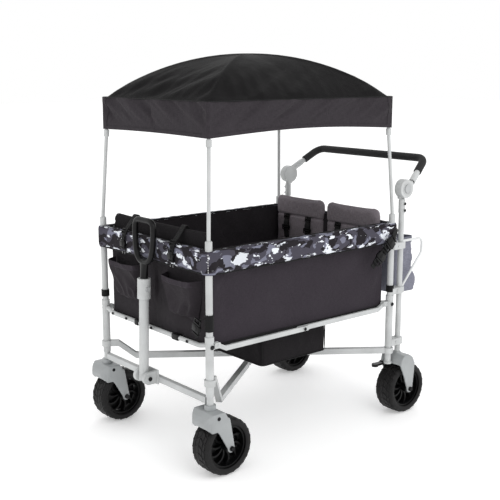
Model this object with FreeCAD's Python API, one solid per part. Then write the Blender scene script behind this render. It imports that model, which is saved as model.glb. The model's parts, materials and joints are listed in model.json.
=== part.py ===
import FreeCAD, Part
import os
from math import atan2, degrees, hypot, sin, sqrt, tan

# Folding four-wheel children's wagon with a pull handle, a push handle and a canopy.
# Frame: +Z up, the pull handle is at -Y, the push handle at +Y, the wagon's left is +X.
# All sizes in millimetres. Pieces are modelled about the centre between the four legs and
# moved together at the end, so that the origin is under the middle of the whole wagon.

V = FreeCAD.Vector

# --- overall sizes -----------------------------------------------------------
TRACK = 656.0            # between left and right leg axes
BASE = 890.0             # between front and rear leg axes
RAIL_TOP = 780.0         # top of the padded bumper
HEM_Z = 1143.0           # lower edge of the canopy valance
EAVE_Z = 1259.0          # seam between valance and dome
APEX_Z = 1417.0          # top of the dome
FOLD_TRAVEL = 420.0      # how far the front frame closes towards the rear frame

# --- general fits and walls -----------------------------------------------------
RUN = 0.05               # radial running clearance, shaft in hole
GAP = 0.5                # gap between pieces that move past each other
FIT = 0.05               # gap between pieces fastened together
TUBE_WALL = 1.6
CLOTH = 3.0              # wall of sewn panels

# --- legs ------------------------------------------------------------------------
LEG_R = 12.0             # lower and upper leg tube
SLEEVE_WALL = 2.0        # outer leg sleeve
COLLAR_STEP = 1.5        # collar beyond the sleeve
FOOT_FLANGE = 4.0        # foot ring beyond the leg tube
LEG_TOP = 782.0
FRONT_LEG_FOOT = 254.0
REAR_LEG_FOOT = 212.0
SLEEVE_LOW, SLEEVE_HIGH = 283.0, 470.0
COLLAR_H = 20.0
POST_OFFSET = 55.0       # second rear post behind the rear leg
POST_R = 11.0
POST_FOOT = 253.0

# --- wheels ------------------------------------------------------------------------
WHEEL_R = 101.0
TYRE_W = 88.0
TYRE_BORE_R = 76.0
RIM_W = 66.0
RIM_WALL = 7.0
HUB_R = 17.0
SPOKES = 10
SPOKE_W = 6.0
AXLE_R = 6.0
TRAIL = 49.0             # front axle behind the caster stem
REAR_AXLE_BACK = 76.0    # rear axle behind the rear leg
FORK_PLATE = 7.0
WHEEL_SIDE_GAP = 4.0
CROWN_LOW = WHEEL_R * 2 + 5.0
CROWN_HIGH = 237.0

# --- bumper, tub and seats ----------------------------------------------------------
BUMPER_H = 80.0
BUMPER_OUT = 20.0        # outer face beyond the leg axes
BUMPER_IN = 17.0         # inner face inside the leg axes
BUMPER_WALL = 4.0
TUB_LOW = 455.0
TUB_CLEAR = 1.0          # between the tub wall and the bumper
BENCH_DEPTH = 205.0
BENCH_H = 60.0
BACK_RISE = 60.0         # seat backs above the bumper
BACK_T = 22.0
SEAT_BACK_GAP = 16.0
WELL_HALF_X = 250.0
WELL_FRONT, WELL_REAR = -148.0, 180.0
WELL_LOW = 298.0

# --- side rails, lower rails and braces -----------------------------------------------
RAIL_Z = 441.0
RAIL_H, RAIL_T = 17.0, 9.0
RAIL_PIVOT_IN = 29.0     # rail pivot inboard of the leg axis
RAIL_PIVOT_Z = 458.0
RAIL_PIN_R = 4.0
LAP_Y = -20.0            # middle of the side rail lap
LAP_HALF = 16.0
BRACE_W = 22.0
BRACE_HIGH_Z, BRACE_LOW_Z = 266.0, 232.0
BRACE_HEAD_RIGHT, BRACE_HEAD_LEFT = 316.0, 331.0
BRACE_LEVEL = 45.0       # level run beside the front leg
BRACE_DROP = 112.0       # where the crank has reached its lower height
LAP_TONGUE, LAP_SHOULDER = 20.0, 40.0

# --- pull handle ---------------------------------------------------------------------
PULL_OUT = 47.0          # pivot in front of the front leg axes
PULL_Z = 277.0
PULL_LEAN = 1.6          # degrees
PULL_R, PULL_WALL = 17.5, 2.0
COLLAR_LOW, COLLAR_HIGH = 288.0, 360.0     # along the tube from the pivot
PULL_COLLAR_R = 24.0
GRIP_NECK = 435.0        # start of the grip loop, along the tube
GRIP_TOP = 577.0
GRIP_HALF = 66.0         # half width of the loop to the bar axis
GRIP_BAR_R = 9.5
GRIP_NECK_HALF = 24.0    # half width of the loop's foot
GRIP_BEND = 14.0
PULL_EXTEND = 300.0
EAR_R = 23.0             # round bosses each side of the pull tube

# --- push handle ------------------------------------------------------------------------
PUSH_BACK = 61.0         # pivot behind the rear leg axes
PUSH_Z = 906.0
HUB_DISC_R = 36.0
HUB_IN, HUB_OUT = 13.0, 20.0
BUTTON_R = 16.0
PUSH_BAR_BACK, PUSH_BAR_UP = 156.0, 105.0
PUSH_BAR_HALF = 300.0
PUSH_TUBE_R = 11.0
PUSH_FOAM_R = 15.5
PUSH_BEND = 46.0
ARM_OFF = 7.0            # arm socket outside the hub disc

# --- canopy -------------------------------------------------------------------------------
SOCKET_H = 30.0
CANOPY_POST_R = 6.5
CANOPY_LEAN = 17.0       # posts lean inward by this much at the hem
ROOF_T = 3.0
ARCH_R = 4.0

# --- rear bag -------------------------------------------------------------------------------
BAG_HALF = 292.0
BAG_FRONT, BAG_REAR = 522.0, 668.0
BAG_MOUTH = 640.0         # rear of the mouth, further forward than the bottom
BAG_LOW, BAG_HIGH = 470.0, 700.0
HOOP_R = 5.0

HX, HY = TRACK / 2, BASE / 2
SLEEVE_R = LEG_R + SLEEVE_WALL
COLLAR_R = SLEEVE_R + COLLAR_STEP
SOCKET_R = LEG_R
ROOF_OVER = CANOPY_POST_R + ROOF_T + GAP
POST_Y = HY + POST_OFFSET
BUMPER_LOW = RAIL_TOP - BUMPER_H
TUB_X = HX - BUMPER_IN - TUB_CLEAR
TUB_Y = HY - BUMPER_IN - TUB_CLEAR
FRONT_AXLE_Y = -HY + TRAIL
REAR_AXLE_Y = HY + REAR_AXLE_BACK
FORK_IN = TYRE_W / 2 + WHEEL_SIDE_GAP
FORK_OUT = FORK_IN + FORK_PLATE
PULL_Y = -HY - PULL_OUT
PUSH_Y = HY + PUSH_BACK
RAIL_PIVOT_Y = HY - RAIL_PIVOT_IN
BRACE_ANGLE = degrees(atan2(HY, HX))
BRACE_HALF = hypot(HX, HY)
ROOF_X = HX - CANOPY_LEAN + ROOF_OVER
ROOF_Y = HY - CANOPY_LEAN + ROOF_OVER


# --- helpers ------------------------------------------------------------------------------------
def box(x, y, z):
    """A box from three (low, high) pairs."""
    return Part.makeBox(x[1] - x[0], y[1] - y[0], z[1] - z[0], V(x[0], y[0], z[0]))


def rod(radius, start, end):
    """A solid round bar between two points."""
    start, end = V(*start), V(*end)
    return Part.makeCylinder(radius, (end - start).Length, start, end - start)


def ring(outer, inner, start, end):
    """A round sleeve between two points."""
    return rod(outer, start, end).cut(rod(inner, start, end))


def route(points, bend):
    """A wire of straight runs joined by tangent arcs."""
    pts = [V(*p) for p in points]
    edges = []
    at = pts[0]
    for before, corner, after in zip(pts, pts[1:], pts[2:]):
        u = (before - corner).normalize()
        w = (after - corner).normalize()
        half = u.getAngle(w) / 2
        into, out = corner + u * (bend / tan(half)), corner + w * (bend / tan(half))
        middle = corner + (u + w).normalize() * (bend / sin(half) - bend)
        edges += [Part.LineSegment(at, into).toShape(), Part.Arc(into, middle, out).toShape()]
        at = out
    edges.append(Part.LineSegment(at, pts[-1]).toShape())
    return Part.Wire(edges)


def swept(wire, radius):
    """A round bar along a wire."""
    first = wire.Edges[0]
    start = first.valueAt(first.FirstParameter)
    along = first.tangentAt(first.FirstParameter)
    section = Part.Wire([Part.Circle(start, along, radius).toShape()])
    return wire.makePipeShell([section], True, True)


def bent_tube(points, bend, radius, wall=TUBE_WALL):
    wire = route(points, bend)
    return swept(wire, radius).cut(swept(wire, radius - wall))


def plate(outline, x):
    """A side-view outline of (y, z) points, extruded between two x values."""
    pts = [V(x[0], y, z) for y, z in outline]
    face = Part.Face(Part.makePolygon(pts + pts[:1]))
    return face.extrude(V(x[1] - x[0], 0, 0))


def join(shapes):
    shapes = list(shapes)
    return shapes[0].multiFuse(shapes[1:]).removeSplitter() if len(shapes) > 1 else shapes[0]


def mirrored(shape):
    return shape.mirror(V(0, 0, 0), V(1, 0, 0))


def both(shape):
    """The left shape and its right twin as two solids of one node."""
    return Part.makeCompound([shape, mirrored(shape)])


def rounded(shape, radius, direction):
    """Rounds the straight edges that run along one direction."""
    edges = [e for e in shape.Edges
             if e.Curve.TypeId == "Part::GeomLine" and abs(abs(e.tangentAt(0) * direction) - 1) < 1e-6]
    return shape.makeFillet(radius, edges)


X_AXIS, Y_AXIS, Z_AXIS = V(1, 0, 0), V(0, 1, 0), V(0, 0, 1)


# --- legs and posts ------------------------------------------------------------------------------
def leg_tube(y, foot):
    return ring(LEG_R, LEG_R - TUBE_WALL, (HX, y, foot), (HX, y, LEG_TOP))


def rail_bracket(y, rail_side):
    """Sleeve and collar on one leg, with a clevis and pin for the side rail."""
    inward = -1 if y > 0 else 1
    pivot = y + inward * RAIL_PIVOT_IN
    sleeve = rod(SLEEVE_R, (HX, y, SLEEVE_LOW), (HX, y, SLEEVE_HIGH))
    collar = rod(COLLAR_R, (HX, y, SLEEVE_HIGH), (HX, y, SLEEVE_HIGH + COLLAR_H))
    mid = HX + rail_side * (RAIL_T / 2 + GAP / 2)
    cheek = RAIL_T / 2 + GAP
    reach = sorted((y + inward * (LEG_R + 1), pivot + inward * 9))
    block = box((mid - cheek - 3, mid + cheek + 3), reach, (RAIL_PIVOT_Z - 10, RAIL_PIVOT_Z + 10))
    block = rounded(block, 5, X_AXIS)
    slot_y = sorted((y + inward * (SLEEVE_R + 2), pivot + inward * 20))
    slot = box((mid - cheek, mid + cheek), slot_y, (RAIL_PIVOT_Z - 20, RAIL_PIVOT_Z + 20))
    pin = rod(RAIL_PIN_R, (mid - cheek - 5, pivot, RAIL_PIVOT_Z), (mid + cheek + 5, pivot, RAIL_PIVOT_Z))
    bore = rod(LEG_R + FIT, (HX, y, SLEEVE_LOW), (HX, y, SLEEVE_HIGH + COLLAR_H))
    body = join([sleeve, collar, block]).cut(slot).cut(bore)
    return join([body, pin])


def rear_legs():
    leg = leg_tube(HY, REAR_LEG_FOOT)
    foot = ring(LEG_R + FOOT_FLANGE, LEG_R, (HX, HY, REAR_LEG_FOOT), (HX, HY, REAR_LEG_FOOT + 7))
    return both(join([leg, foot]))


def push_posts():
    post = ring(POST_R, POST_R - TUBE_WALL, (HX, POST_Y, POST_FOOT), (HX, POST_Y, PUSH_Z - HUB_DISC_R - 4))
    ferrule = ring(POST_R + 1.8, POST_R - TUBE_WALL, (HX, POST_Y, RAIL_TOP + 32), (HX, POST_Y, 862))
    bolts = [rod(4, (HX + 9, POST_Y, z), (HX + 17, POST_Y, z)) for z in (822, 848)]
    return both(join([post, ferrule] + bolts))


def rear_leg_clamps():
    """Blocks that tie each rear leg to the post behind it."""
    blocks = []
    for low, high, leg_r in ((284, 311, SLEEVE_R), (494, 518, LEG_R), (672, 697, LEG_R)):
        half = SLEEVE_R + 3
        block = box((HX - half, HX + half), (HY - 2, POST_Y + 14), (low, high))
        block = rounded(block, 8, Z_AXIS)
        for y, radius in ((HY, leg_r), (POST_Y, POST_R)):
            block = block.cut(rod(radius + FIT, (HX, y, low), (HX, y, high)))
        y, z = (HY + POST_Y) / 2, (low + high) / 2
        bolt = rod(5, (HX + half, y, z), (HX + half + 3, y, z))
        blocks.append(join([block, bolt]))
    return Part.makeCompound(blocks + [mirrored(b) for b in blocks])


def end_rails(y):
    """Upper and lower cross rails between two legs of one end frame."""
    upper = ring(10, 10 - TUBE_WALL, (-HX + LEG_R + FIT, y, 740), (HX - LEG_R - FIT, y, 740))
    drop, inset = 14.0, 58.0
    low_z = RAIL_PIVOT_Z + 4
    lower = bent_tube([(-HX, y, low_z), (-HX + inset, y, low_z - drop), (HX - inset, y, low_z - drop),
                       (HX, y, low_z)], 60, 8)
    for x in (-HX, HX):
        lower = lower.cut(rod(COLLAR_R + FIT, (x, y, SLEEVE_LOW), (x, y, SLEEVE_HIGH + COLLAR_H)))
    return Part.makeCompound([upper, max(lower.Solids, key=lambda solid: solid.Volume)])


def canopy_sockets(y):
    socket = ring(SOCKET_R, CANOPY_POST_R + GAP, (HX, y, LEG_TOP), (HX, y, LEG_TOP + SOCKET_H))
    return both(rounded_rim(socket))


def rounded_rim(socket):
    rim = [e for e in socket.Edges if e.Closed and abs(e.Curve.Radius - SOCKET_R) < 1e-6
           and e.Curve.Center.z > LEG_TOP + 1]
    return socket.makeFillet(2.5, rim)


# --- wheels, forks and brakes ------------------------------------------------------------------------
def wheel_profile(outer, inner, width, shoulder):
    """Half section of a ring, x across the wheel and z outwards, with rounded shoulders."""
    w, s = width / 2, shoulder
    k = s * (1 - sqrt(0.5))
    lines = [((-w, inner), (w, inner)), ((w, inner), (w, outer - s)), ((w - s, outer), (-w + s, outer)),
             ((-w, outer - s), (-w, inner))]
    edges = [Part.LineSegment(V(a[0], 0, a[1]), V(b[0], 0, b[1])).toShape() for a, b in lines]
    right = Part.Arc(V(w, 0, outer - s), V(w - k, 0, outer - k), V(w - s, 0, outer)).toShape()
    left = Part.Arc(V(-w + s, 0, outer), V(-w + k, 0, outer - k), V(-w, 0, outer - s)).toShape()
    return Part.Face(Part.Wire([edges[0], edges[1], right, edges[2], left, edges[3]]))


def tyre():
    return wheel_profile(WHEEL_R, TYRE_BORE_R, TYRE_W, 15).revolve(V(0, 0, 0), X_AXIS, 360)


def rim():
    """Barrel, hub and curved spokes about the X axis."""
    outer = TYRE_BORE_R - FIT
    barrel = ring(outer, outer - RIM_WALL, (-RIM_W / 2, 0, 0), (RIM_W / 2, 0, 0))
    hub = rod(HUB_R, (-FORK_IN + 1.5, 0, 0), (FORK_IN - 1.5, 0, 0))
    start, end = HUB_R - 2, outer - RIM_WALL / 2
    sweep_r = (end - start) * 0.62
    spokes = []
    for i in range(SPOKES):
        mid = V(0, sqrt(sweep_r ** 2 - ((end - start) / 2) ** 2), (start + end) / 2)
        bow = Part.makeCylinder(sweep_r + SPOKE_W / 2, RIM_W * 0.6, V(-RIM_W * 0.3, mid.y, mid.z), X_AXIS)
        bow = bow.cut(Part.makeCylinder(sweep_r - SPOKE_W / 2, RIM_W * 0.6, V(-RIM_W * 0.3, mid.y, mid.z), X_AXIS))
        keep = box((-RIM_W / 2, RIM_W / 2), (-40, mid.y - 2), (start, end))
        spoke = bow.common(keep)
        spoke.rotate(V(0, 0, 0), X_AXIS, i * 360.0 / SPOKES)
        spokes.append(spoke)
    body = join([barrel, hub] + spokes)
    return body.cut(rod(AXLE_R + RUN, (-FORK_OUT, 0, 0), (FORK_OUT, 0, 0)))


def at_wheel(shape, side, y):
    placed = shape.copy()
    placed.translate(V(side * HX, y, WHEEL_R))
    return placed


def axle():
    """Axle bolt with a round head each side, just outside the fork plates."""
    shaft = rod(AXLE_R, (-FORK_OUT, 0, 0), (FORK_OUT, 0, 0))
    heads = [rod(9, (s * (FORK_OUT + FIT), 0, 0), (s * (FORK_OUT + 6), 0, 0)) for s in (-1, 1)]
    links = [rod(AXLE_R, (s * FORK_OUT, 0, 0), (s * (FORK_OUT + 1), 0, 0)) for s in (-1, 1)]
    return join([shaft] + heads + links)


def fork(outline, crown_outline, axle_y, nose=None):
    """Two tapered arms and a crown over the wheel, about the wheel's mid plane."""
    arms = [plate(outline, sorted((s * FORK_IN, s * FORK_OUT))) for s in (-1, 1)]
    eyes = [rod(15, (s * FORK_IN, axle_y, WHEEL_R), (s * FORK_OUT, axle_y, WHEEL_R)) for s in (-1, 1)]
    crown = plate(crown_outline, (-FORK_OUT, FORK_OUT))
    if nose:
        crown = nose(crown)
    body = join(arms + eyes + [crown])
    return body.cut(rod(AXLE_R + FIT, (-FORK_OUT - 1, axle_y, WHEEL_R), (FORK_OUT + 1, axle_y, WHEEL_R)))


def front_fork():
    """Swivelling fork, with its nose drooping ahead of the stem."""
    y, a = -HY, FRONT_AXLE_Y
    crown = [(y - 50, CROWN_LOW - 20), (y - 52, CROWN_LOW), (y - 44, CROWN_LOW + 16), (y - 26, CROWN_HIGH),
             (y + 22, CROWN_HIGH), (y + 38, CROWN_LOW + 8), (y + 43, CROWN_LOW), (y - 38, CROWN_LOW), (y - 44, CROWN_LOW - 20)]
    arm = [(y - 26, CROWN_LOW + 6), (y + 43, CROWN_LOW + 6), (y + 52, CROWN_LOW - 40), (a + 14.5, WHEEL_R),
           (a - 14.5, WHEEL_R), (y - 2, CROWN_LOW - 42), (y - 18, CROWN_LOW - 24), (y - 27, CROWN_LOW - 8)]
    disc = rod(FORK_OUT + 6, (0, y, CROWN_LOW - 30), (0, y, CROWN_HIGH + 1))
    body = fork(arm, crown, a, disc.common)
    bolt = rod(7, (FORK_OUT, y - 6, CROWN_LOW + 14), (FORK_OUT + 3, y - 6, CROWN_LOW + 14))
    stem = rod(8, (0, y, CROWN_HIGH - 1), (0, y, FRONT_LEG_FOOT + 3))
    return join([body, bolt, stem])


def rear_fork():
    """Fixed fork under the second rear post, with the post's cap ring and the brake lug."""
    y, a = POST_Y, REAR_AXLE_Y
    crown = [(y - 37, CROWN_LOW), (y - 30, CROWN_LOW + 24), (y - 16, CROWN_HIGH + 9), (y + 14, CROWN_HIGH + 9),
             (y + 34, CROWN_HIGH - 6), (y + 46, CROWN_LOW)]
    arm = [(y - 37, CROWN_LOW), (y + 46, CROWN_LOW), (y + 44, CROWN_LOW - 36), (a + 15, WHEEL_R),
           (a - 15, WHEEL_R), (y - 14, CROWN_LOW - 50), (y - 34, CROWN_LOW - 6)]
    cap = rod(14, (0, y, CROWN_HIGH + 8), (0, y, POST_FOOT - FIT))
    return join([fork(arm, crown, a), cap])


def brake_pedal():
    """Short lever with a pad, pivoting on a pin in front of the rear fork crown."""
    pivot_y, z, x = POST_Y - 50, CROWN_LOW - 1, HX - 30
    lever = box((x - 11, x + 11), (pivot_y - 52, pivot_y + 6), (z - 5, z + 3))
    pad = rod(13, (x, pivot_y - 46, z - 7), (x, pivot_y - 46, z + 4))
    return join([lever, pad, rod(6, (x - 14, pivot_y, z), (x + 14, pivot_y, z))])


# --- bumper, tub, seats and bags ---------------------------------------------------------------------
def frame_box(half_x, half_y, z, radius):
    shape = box((-half_x, half_x), (-half_y, half_y), z)
    return rounded(shape, radius, Z_AXIS)


def bumper_cover():
    """Padded ring over the four legs, hollow underneath so that legs and rails fit in it."""
    out, wall = BUMPER_OUT, BUMPER_WALL
    solid = frame_box(HX + out, HY + out, (BUMPER_LOW, RAIL_TOP), 22)
    solid = solid.cut(frame_box(HX - BUMPER_IN, HY - BUMPER_IN, (BUMPER_LOW - 1, RAIL_TOP + 1), 4))
    cavity = frame_box(HX + out - wall, HY + out - wall, (BUMPER_LOW - 1, RAIL_TOP - wall), 18)
    cavity = cavity.cut(frame_box(HX - BUMPER_IN + wall, HY - BUMPER_IN + wall, (BUMPER_LOW - 2, RAIL_TOP), 8))
    legs = [rod(LEG_R + GAP, (s * HX, t * HY, BUMPER_LOW), (s * HX, t * HY, RAIL_TOP + 1))
            for s in (-1, 1) for t in (-1, 1)]
    return solid.cut(cavity).cut(join(legs))


def fabric_tub():
    """Sewn tub with an open top and a floor that opens into the footwell."""
    shell = frame_box(TUB_X, TUB_Y, (TUB_LOW, RAIL_TOP - 2), 4)
    inside = box((-TUB_X + CLOTH, TUB_X - CLOTH), (-TUB_Y + CLOTH, TUB_Y - CLOTH), (TUB_LOW + CLOTH, RAIL_TOP))
    well = box((-WELL_HALF_X + CLOTH, WELL_HALF_X - CLOTH), (WELL_FRONT + CLOTH, WELL_REAR - CLOTH),
               (TUB_LOW - 1, TUB_LOW + CLOTH + 1))
    return shell.cut(inside).cut(well)


def footwell_basket():
    outer = box((-WELL_HALF_X, WELL_HALF_X), (WELL_FRONT, WELL_REAR), (WELL_LOW, TUB_LOW - FIT))
    outer = rounded(outer, 20, Z_AXIS)
    inner = box((-WELL_HALF_X + CLOTH, WELL_HALF_X - CLOTH), (WELL_FRONT + CLOTH, WELL_REAR - CLOTH),
                (WELL_LOW + CLOTH, TUB_LOW + 1))
    return outer.cut(rounded(inner, 17, Z_AXIS))


def bench(end):
    """Seat cushion across one end of the tub; end is -1 in front and 1 behind."""
    back = TUB_Y - CLOTH - BACK_T - 2 * GAP
    y = sorted((end * back, end * (back - BENCH_DEPTH + BACK_T)))
    cushion = box((-TUB_X + CLOTH + 2, TUB_X - CLOTH - 2), y, (TUB_LOW + CLOTH + FIT, TUB_LOW + CLOTH + BENCH_H))
    return rounded(cushion, 12, X_AXIS)


def seat_backs_rear():
    """Two padded seat backs side by side, rising above the bumper."""
    y = (TUB_Y - CLOTH - BACK_T, TUB_Y - CLOTH - GAP)
    x = (SEAT_BACK_GAP / 2, TUB_X - CLOTH - 6)
    pad = box(x, y, (TUB_LOW + CLOTH + 4, RAIL_TOP + BACK_RISE))
    return both(rounded(pad, 9, Y_AXIS))


def front_back_panel():
    y = (-TUB_Y + CLOTH + GAP, -TUB_Y + CLOTH + BACK_T)
    pad = box((-TUB_X + CLOTH + 8, TUB_X - CLOTH - 8), y, (TUB_LOW + CLOTH + 4, RAIL_TOP + BACK_RISE - 8))
    return rounded(pad, 12, Y_AXIS)


def front_pockets():
    """Two open pockets sewn to the outside of the front panel."""
    x, y, z = (72, 272), (-TUB_Y - 34, -TUB_Y - FIT), (520, 668)
    pocket = rounded(box(x, y, z), 10, Y_AXIS)
    inner = box((x[0] + CLOTH, x[1] - CLOTH), (y[0] + CLOTH, y[1] - CLOTH), (z[0] + CLOTH, z[1] + 1))
    return both(pocket.cut(inner))


def rear_bag():
    c, knee = CLOTH, BAG_LOW + 60
    outline = [(BAG_FRONT, BAG_LOW), (BAG_REAR, BAG_LOW), (BAG_REAR, knee), (BAG_MOUTH, BAG_HIGH), (BAG_FRONT, BAG_HIGH)]
    hollow = [(BAG_FRONT + c, BAG_LOW + c), (BAG_REAR - c, BAG_LOW + c), (BAG_REAR - c, knee),
              (BAG_MOUTH - c, BAG_HIGH + 1), (BAG_FRONT + c, BAG_HIGH + 1)]
    bag = rounded(plate(outline, (-BAG_HALF, BAG_HALF)), 14, X_AXIS)
    return bag.cut(rounded(plate(hollow, (c - BAG_HALF, BAG_HALF - c)), 10, X_AXIS))


def bag_hoops():
    """Wire hoops that hold the rear bag, from the top clamp back, down and in to the post."""
    x = BAG_HALF + HOOP_R + 2
    back = BAG_REAR - 22
    points = [(x, POST_Y - 10, 690), (x, back + 18, 690), (x, back + 18, 632), (x, POST_Y + 44, 500),
              (x, POST_Y - 10, 500)]
    hoop = swept(route(points, 22), HOOP_R)
    lugs = [rod(3.5, (x, POST_Y - 4, z), (HX - 17 - FIT, POST_Y - 4, z)) for z in (690, 500)]
    return both(join([hoop] + lugs))


# --- side rails and braces ---------------------------------------------------------------------------
def side_rail(end):
    """One half of a folding side rail: from its leg bracket to the lap in the middle."""
    tip = LAP_Y + LAP_HALF if end < 0 else LAP_Y - LAP_HALF
    head = end * RAIL_PIVOT_Y
    shoulder = end * (RAIL_PIVOT_Y - 34)
    h = RAIL_H / 2
    top = [(head, RAIL_PIVOT_Z + h), (shoulder, RAIL_Z + h), (tip, RAIL_Z + h)]
    low = [(tip, RAIL_Z - h), (shoulder, RAIL_Z - h), (head, RAIL_PIVOT_Z - h)]
    side = -end
    x = sorted((HX + side * GAP / 2, HX + side * (GAP / 2 + RAIL_T)))
    bar = plate(top + low, x)
    eye = rod(h, (x[0], head, RAIL_PIVOT_Z), (x[1], head, RAIL_PIVOT_Z))
    nose = rod(h, (x[0], tip, RAIL_Z), (x[1], tip, RAIL_Z))
    parts = [bar, eye, nose]
    if end < 0:
        parts.append(rod(7, (x[1], LAP_Y, RAIL_Z), (x[1] + 4, LAP_Y, RAIL_Z)))
    bore = rod(RAIL_PIN_R + RUN, (x[0] - 1, head, RAIL_PIVOT_Z), (x[1] + 1, head, RAIL_PIVOT_Z))
    return both(join(parts).cut(bore))


def brace(leg_x, leg_y, leg_r, head_z, z, right_hand):
    """Half of a diagonal floor brace: a collar on its leg, an optional crank and a lap tongue."""
    h = BRACE_W / 2
    collar = COLLAR_R + 4
    drop = BRACE_LEVEL if head_z != z else collar
    end = BRACE_HALF - LAP_SHOULDER
    low_at = BRACE_DROP if head_z != z else drop + 1
    line = [(LEG_R, head_z), (drop, head_z), (low_at, z), (end, z)]
    upper = [V(t, 0, zz + h) for t, zz in line]
    lower = [V(t, 0, zz - h) for t, zz in reversed(line)]
    face = Part.Face(Part.makePolygon(upper + lower + upper[:1]))
    tube = face.extrude(V(0, BRACE_W, 0))
    tube.translate(V(0, -h, 0))
    core_line = line[1:] if head_z == z else line
    core = Part.Face(Part.makePolygon(
        [V(t + 8, 0, zz + h - 2) for t, zz in core_line] + [V(t + 8, 0, zz - h + 2) for t, zz in reversed(core_line)]
        + [V(core_line[0][0] + 8, 0, core_line[0][1] + h - 2)])).extrude(V(0, BRACE_W - 4, 0))
    core.translate(V(0, -h + 2, 0))
    hub = rod(collar, (0, 0, head_z - h), (0, 0, head_z + h))
    tongue = box((end - 4, BRACE_HALF + LAP_TONGUE), (-h, -GAP / 2), (z - h, z + h))
    shape = join([tube, hub, tongue])
    bite = core.cut(rod(collar, (0, 0, head_z - h), (0, 0, head_z + h)))
    shape = shape.cut(bite).cut(rod(leg_r + GAP, (0, 0, head_z - BRACE_W), (0, 0, head_z + BRACE_W)))
    plug = box((end - 4, BRACE_HALF + LAP_TONGUE), (-h, -GAP / 2), (z - h, z + h))
    shape = join([shape, plug])
    if not right_hand:
        shape = shape.mirror(V(0, 0, 0), Y_AXIS)
    shape.rotate(V(0, 0, 0), Z_AXIS, degrees(atan2(-leg_y, -leg_x)))
    shape.translate(V(leg_x, leg_y, 0))
    return shape


# --- front frame details ---------------------------------------------------------------------------
def front_legs():
    return both(leg_tube(-HY, FRONT_LEG_FOOT))


def bearing_cups():
    """Caster bearing under each front leg, with room for the swivel stem."""
    cup = rod(20, (HX, -HY, CROWN_HIGH + GAP), (HX, -HY, FRONT_LEG_FOOT - FIT))
    return both(cup.cut(rod(8 + RUN, (HX, -HY, CROWN_HIGH), (HX, -HY, FRONT_LEG_FOOT))))


def front_cross_tube():
    x = HX - LEG_R - FIT - 2
    z = (FRONT_LEG_FOOT - 1 + 2, FRONT_LEG_FOOT + 24)
    bar = rounded(box((-x, x), (-HY - 10, -HY + 10), z), 3, X_AXIS)
    core = box((-x - 1, x + 1), (-HY - 8, -HY + 8), (z[0] + 2, z[1] - 2))
    return bar.cut(core)


def pull_pivot_bracket():
    """Cheeks and bolt for the foot of the pull handle, on the front cross tube."""
    half, z = PULL_R + 24, (PULL_Z - 27, PULL_Z + 26)
    back = box((-half, half), (-HY - 16, -HY - 10 - FIT), z)
    inner, outer = PULL_R + 4, PULL_R + 18
    bosses = [rod(EAR_R, (s * inner, PULL_Y, PULL_Z), (s * outer, PULL_Y, PULL_Z)) for s in (-1, 1)]
    arms = [box(sorted((s * inner, s * outer)), (PULL_Y, -HY - 12), (PULL_Z - EAR_R, PULL_Z + EAR_R))
            for s in (-1, 1)]
    bolt = rod(5, (-outer, PULL_Y, PULL_Z), (outer, PULL_Y, PULL_Z))
    heads = [rod(8, (s * outer, PULL_Y, PULL_Z), (s * (outer + 4), PULL_Y, PULL_Z)) for s in (-1, 1)]
    return join([back] + bosses + arms + [bolt] + heads)


# --- pull handle ----------------------------------------------------------------------------------------
def lean(shape):
    """Turns a shape built upright on the pull pivot to the handle's resting lean."""
    shape.rotate(V(0, 0, 0), X_AXIS, -PULL_LEAN)
    shape.translate(V(0, PULL_Y, PULL_Z))
    return shape


def pull_tube():
    tube = rod(PULL_R, (0, 0, -12), (0, 0, COLLAR_HIGH - 6))
    tube = tube.cut(rod(PULL_R - PULL_WALL, (0, 0, 16), (0, 0, COLLAR_HIGH)))
    return lean(tube.cut(rod(5 + RUN, (-PULL_R - 1, 0, 0), (PULL_R + 1, 0, 0))))


def pull_collar():
    collar = ring(PULL_COLLAR_R, PULL_R + FIT, (0, 0, COLLAR_LOW), (0, 0, COLLAR_HIGH - 6 + FIT))
    cap = ring(PULL_COLLAR_R, PULL_R - PULL_WALL - 0.5, (0, 0, COLLAR_HIGH - 6 + FIT), (0, 0, COLLAR_HIGH))
    z = (COLLAR_LOW + COLLAR_HIGH) / 2
    well = rod(9 + GAP, (PULL_R + 1, 0, z), (PULL_COLLAR_R + 1, 0, z))
    return lean(join([collar, cap]).cut(well))


def pull_button():
    z = (COLLAR_LOW + COLLAR_HIGH) / 2
    return lean(rod(9, (PULL_R + 3.6, 0, z), (PULL_COLLAR_R + 4, 0, z)))


def pull_grip():
    """Inner tube, neck and closed hand loop; the part that pulls out of the collar."""
    inner = ring(PULL_R - PULL_WALL - 1, PULL_R - PULL_WALL - 3, (0, 0, 20), (0, 0, COLLAR_HIGH + 4))
    neck = rod(14, (0, 0, COLLAR_HIGH + 1), (0, 0, GRIP_NECK + 6))
    low, high = GRIP_NECK, GRIP_TOP - GRIP_BAR_R
    w = GRIP_HALF
    shoulder = low + (high - low) * 0.36
    loop = route([(0, 0, low), (GRIP_NECK_HALF, 0, low), (w, 0, shoulder), (w, 0, high), (0, 0, high)], GRIP_BEND)
    right = swept(loop, GRIP_BAR_R)
    hub = rod(GRIP_BAR_R, (-2, 0, high), (2, 0, high))
    return lean(join([inner, neck, right, mirrored(right), hub]))


# --- push handle -------------------------------------------------------------------------------------------
def push_hub_bases():
    """Inner half of each ratchet hub, standing on the second rear post."""
    disc = rod(HUB_DISC_R, (HX - HUB_IN, PUSH_Y, PUSH_Z), (HX + 2, PUSH_Y, PUSH_Z))
    neck = box((HX - HUB_IN, HX + 2), (POST_Y - 12, POST_Y + 12), (PUSH_Z - HUB_DISC_R - 3.9, PUSH_Z - 20))
    pin = rod(8, (HX + 1, PUSH_Y, PUSH_Z), (HX + 11, PUSH_Y, PUSH_Z))
    return both(join([disc, neck, pin]))


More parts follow.
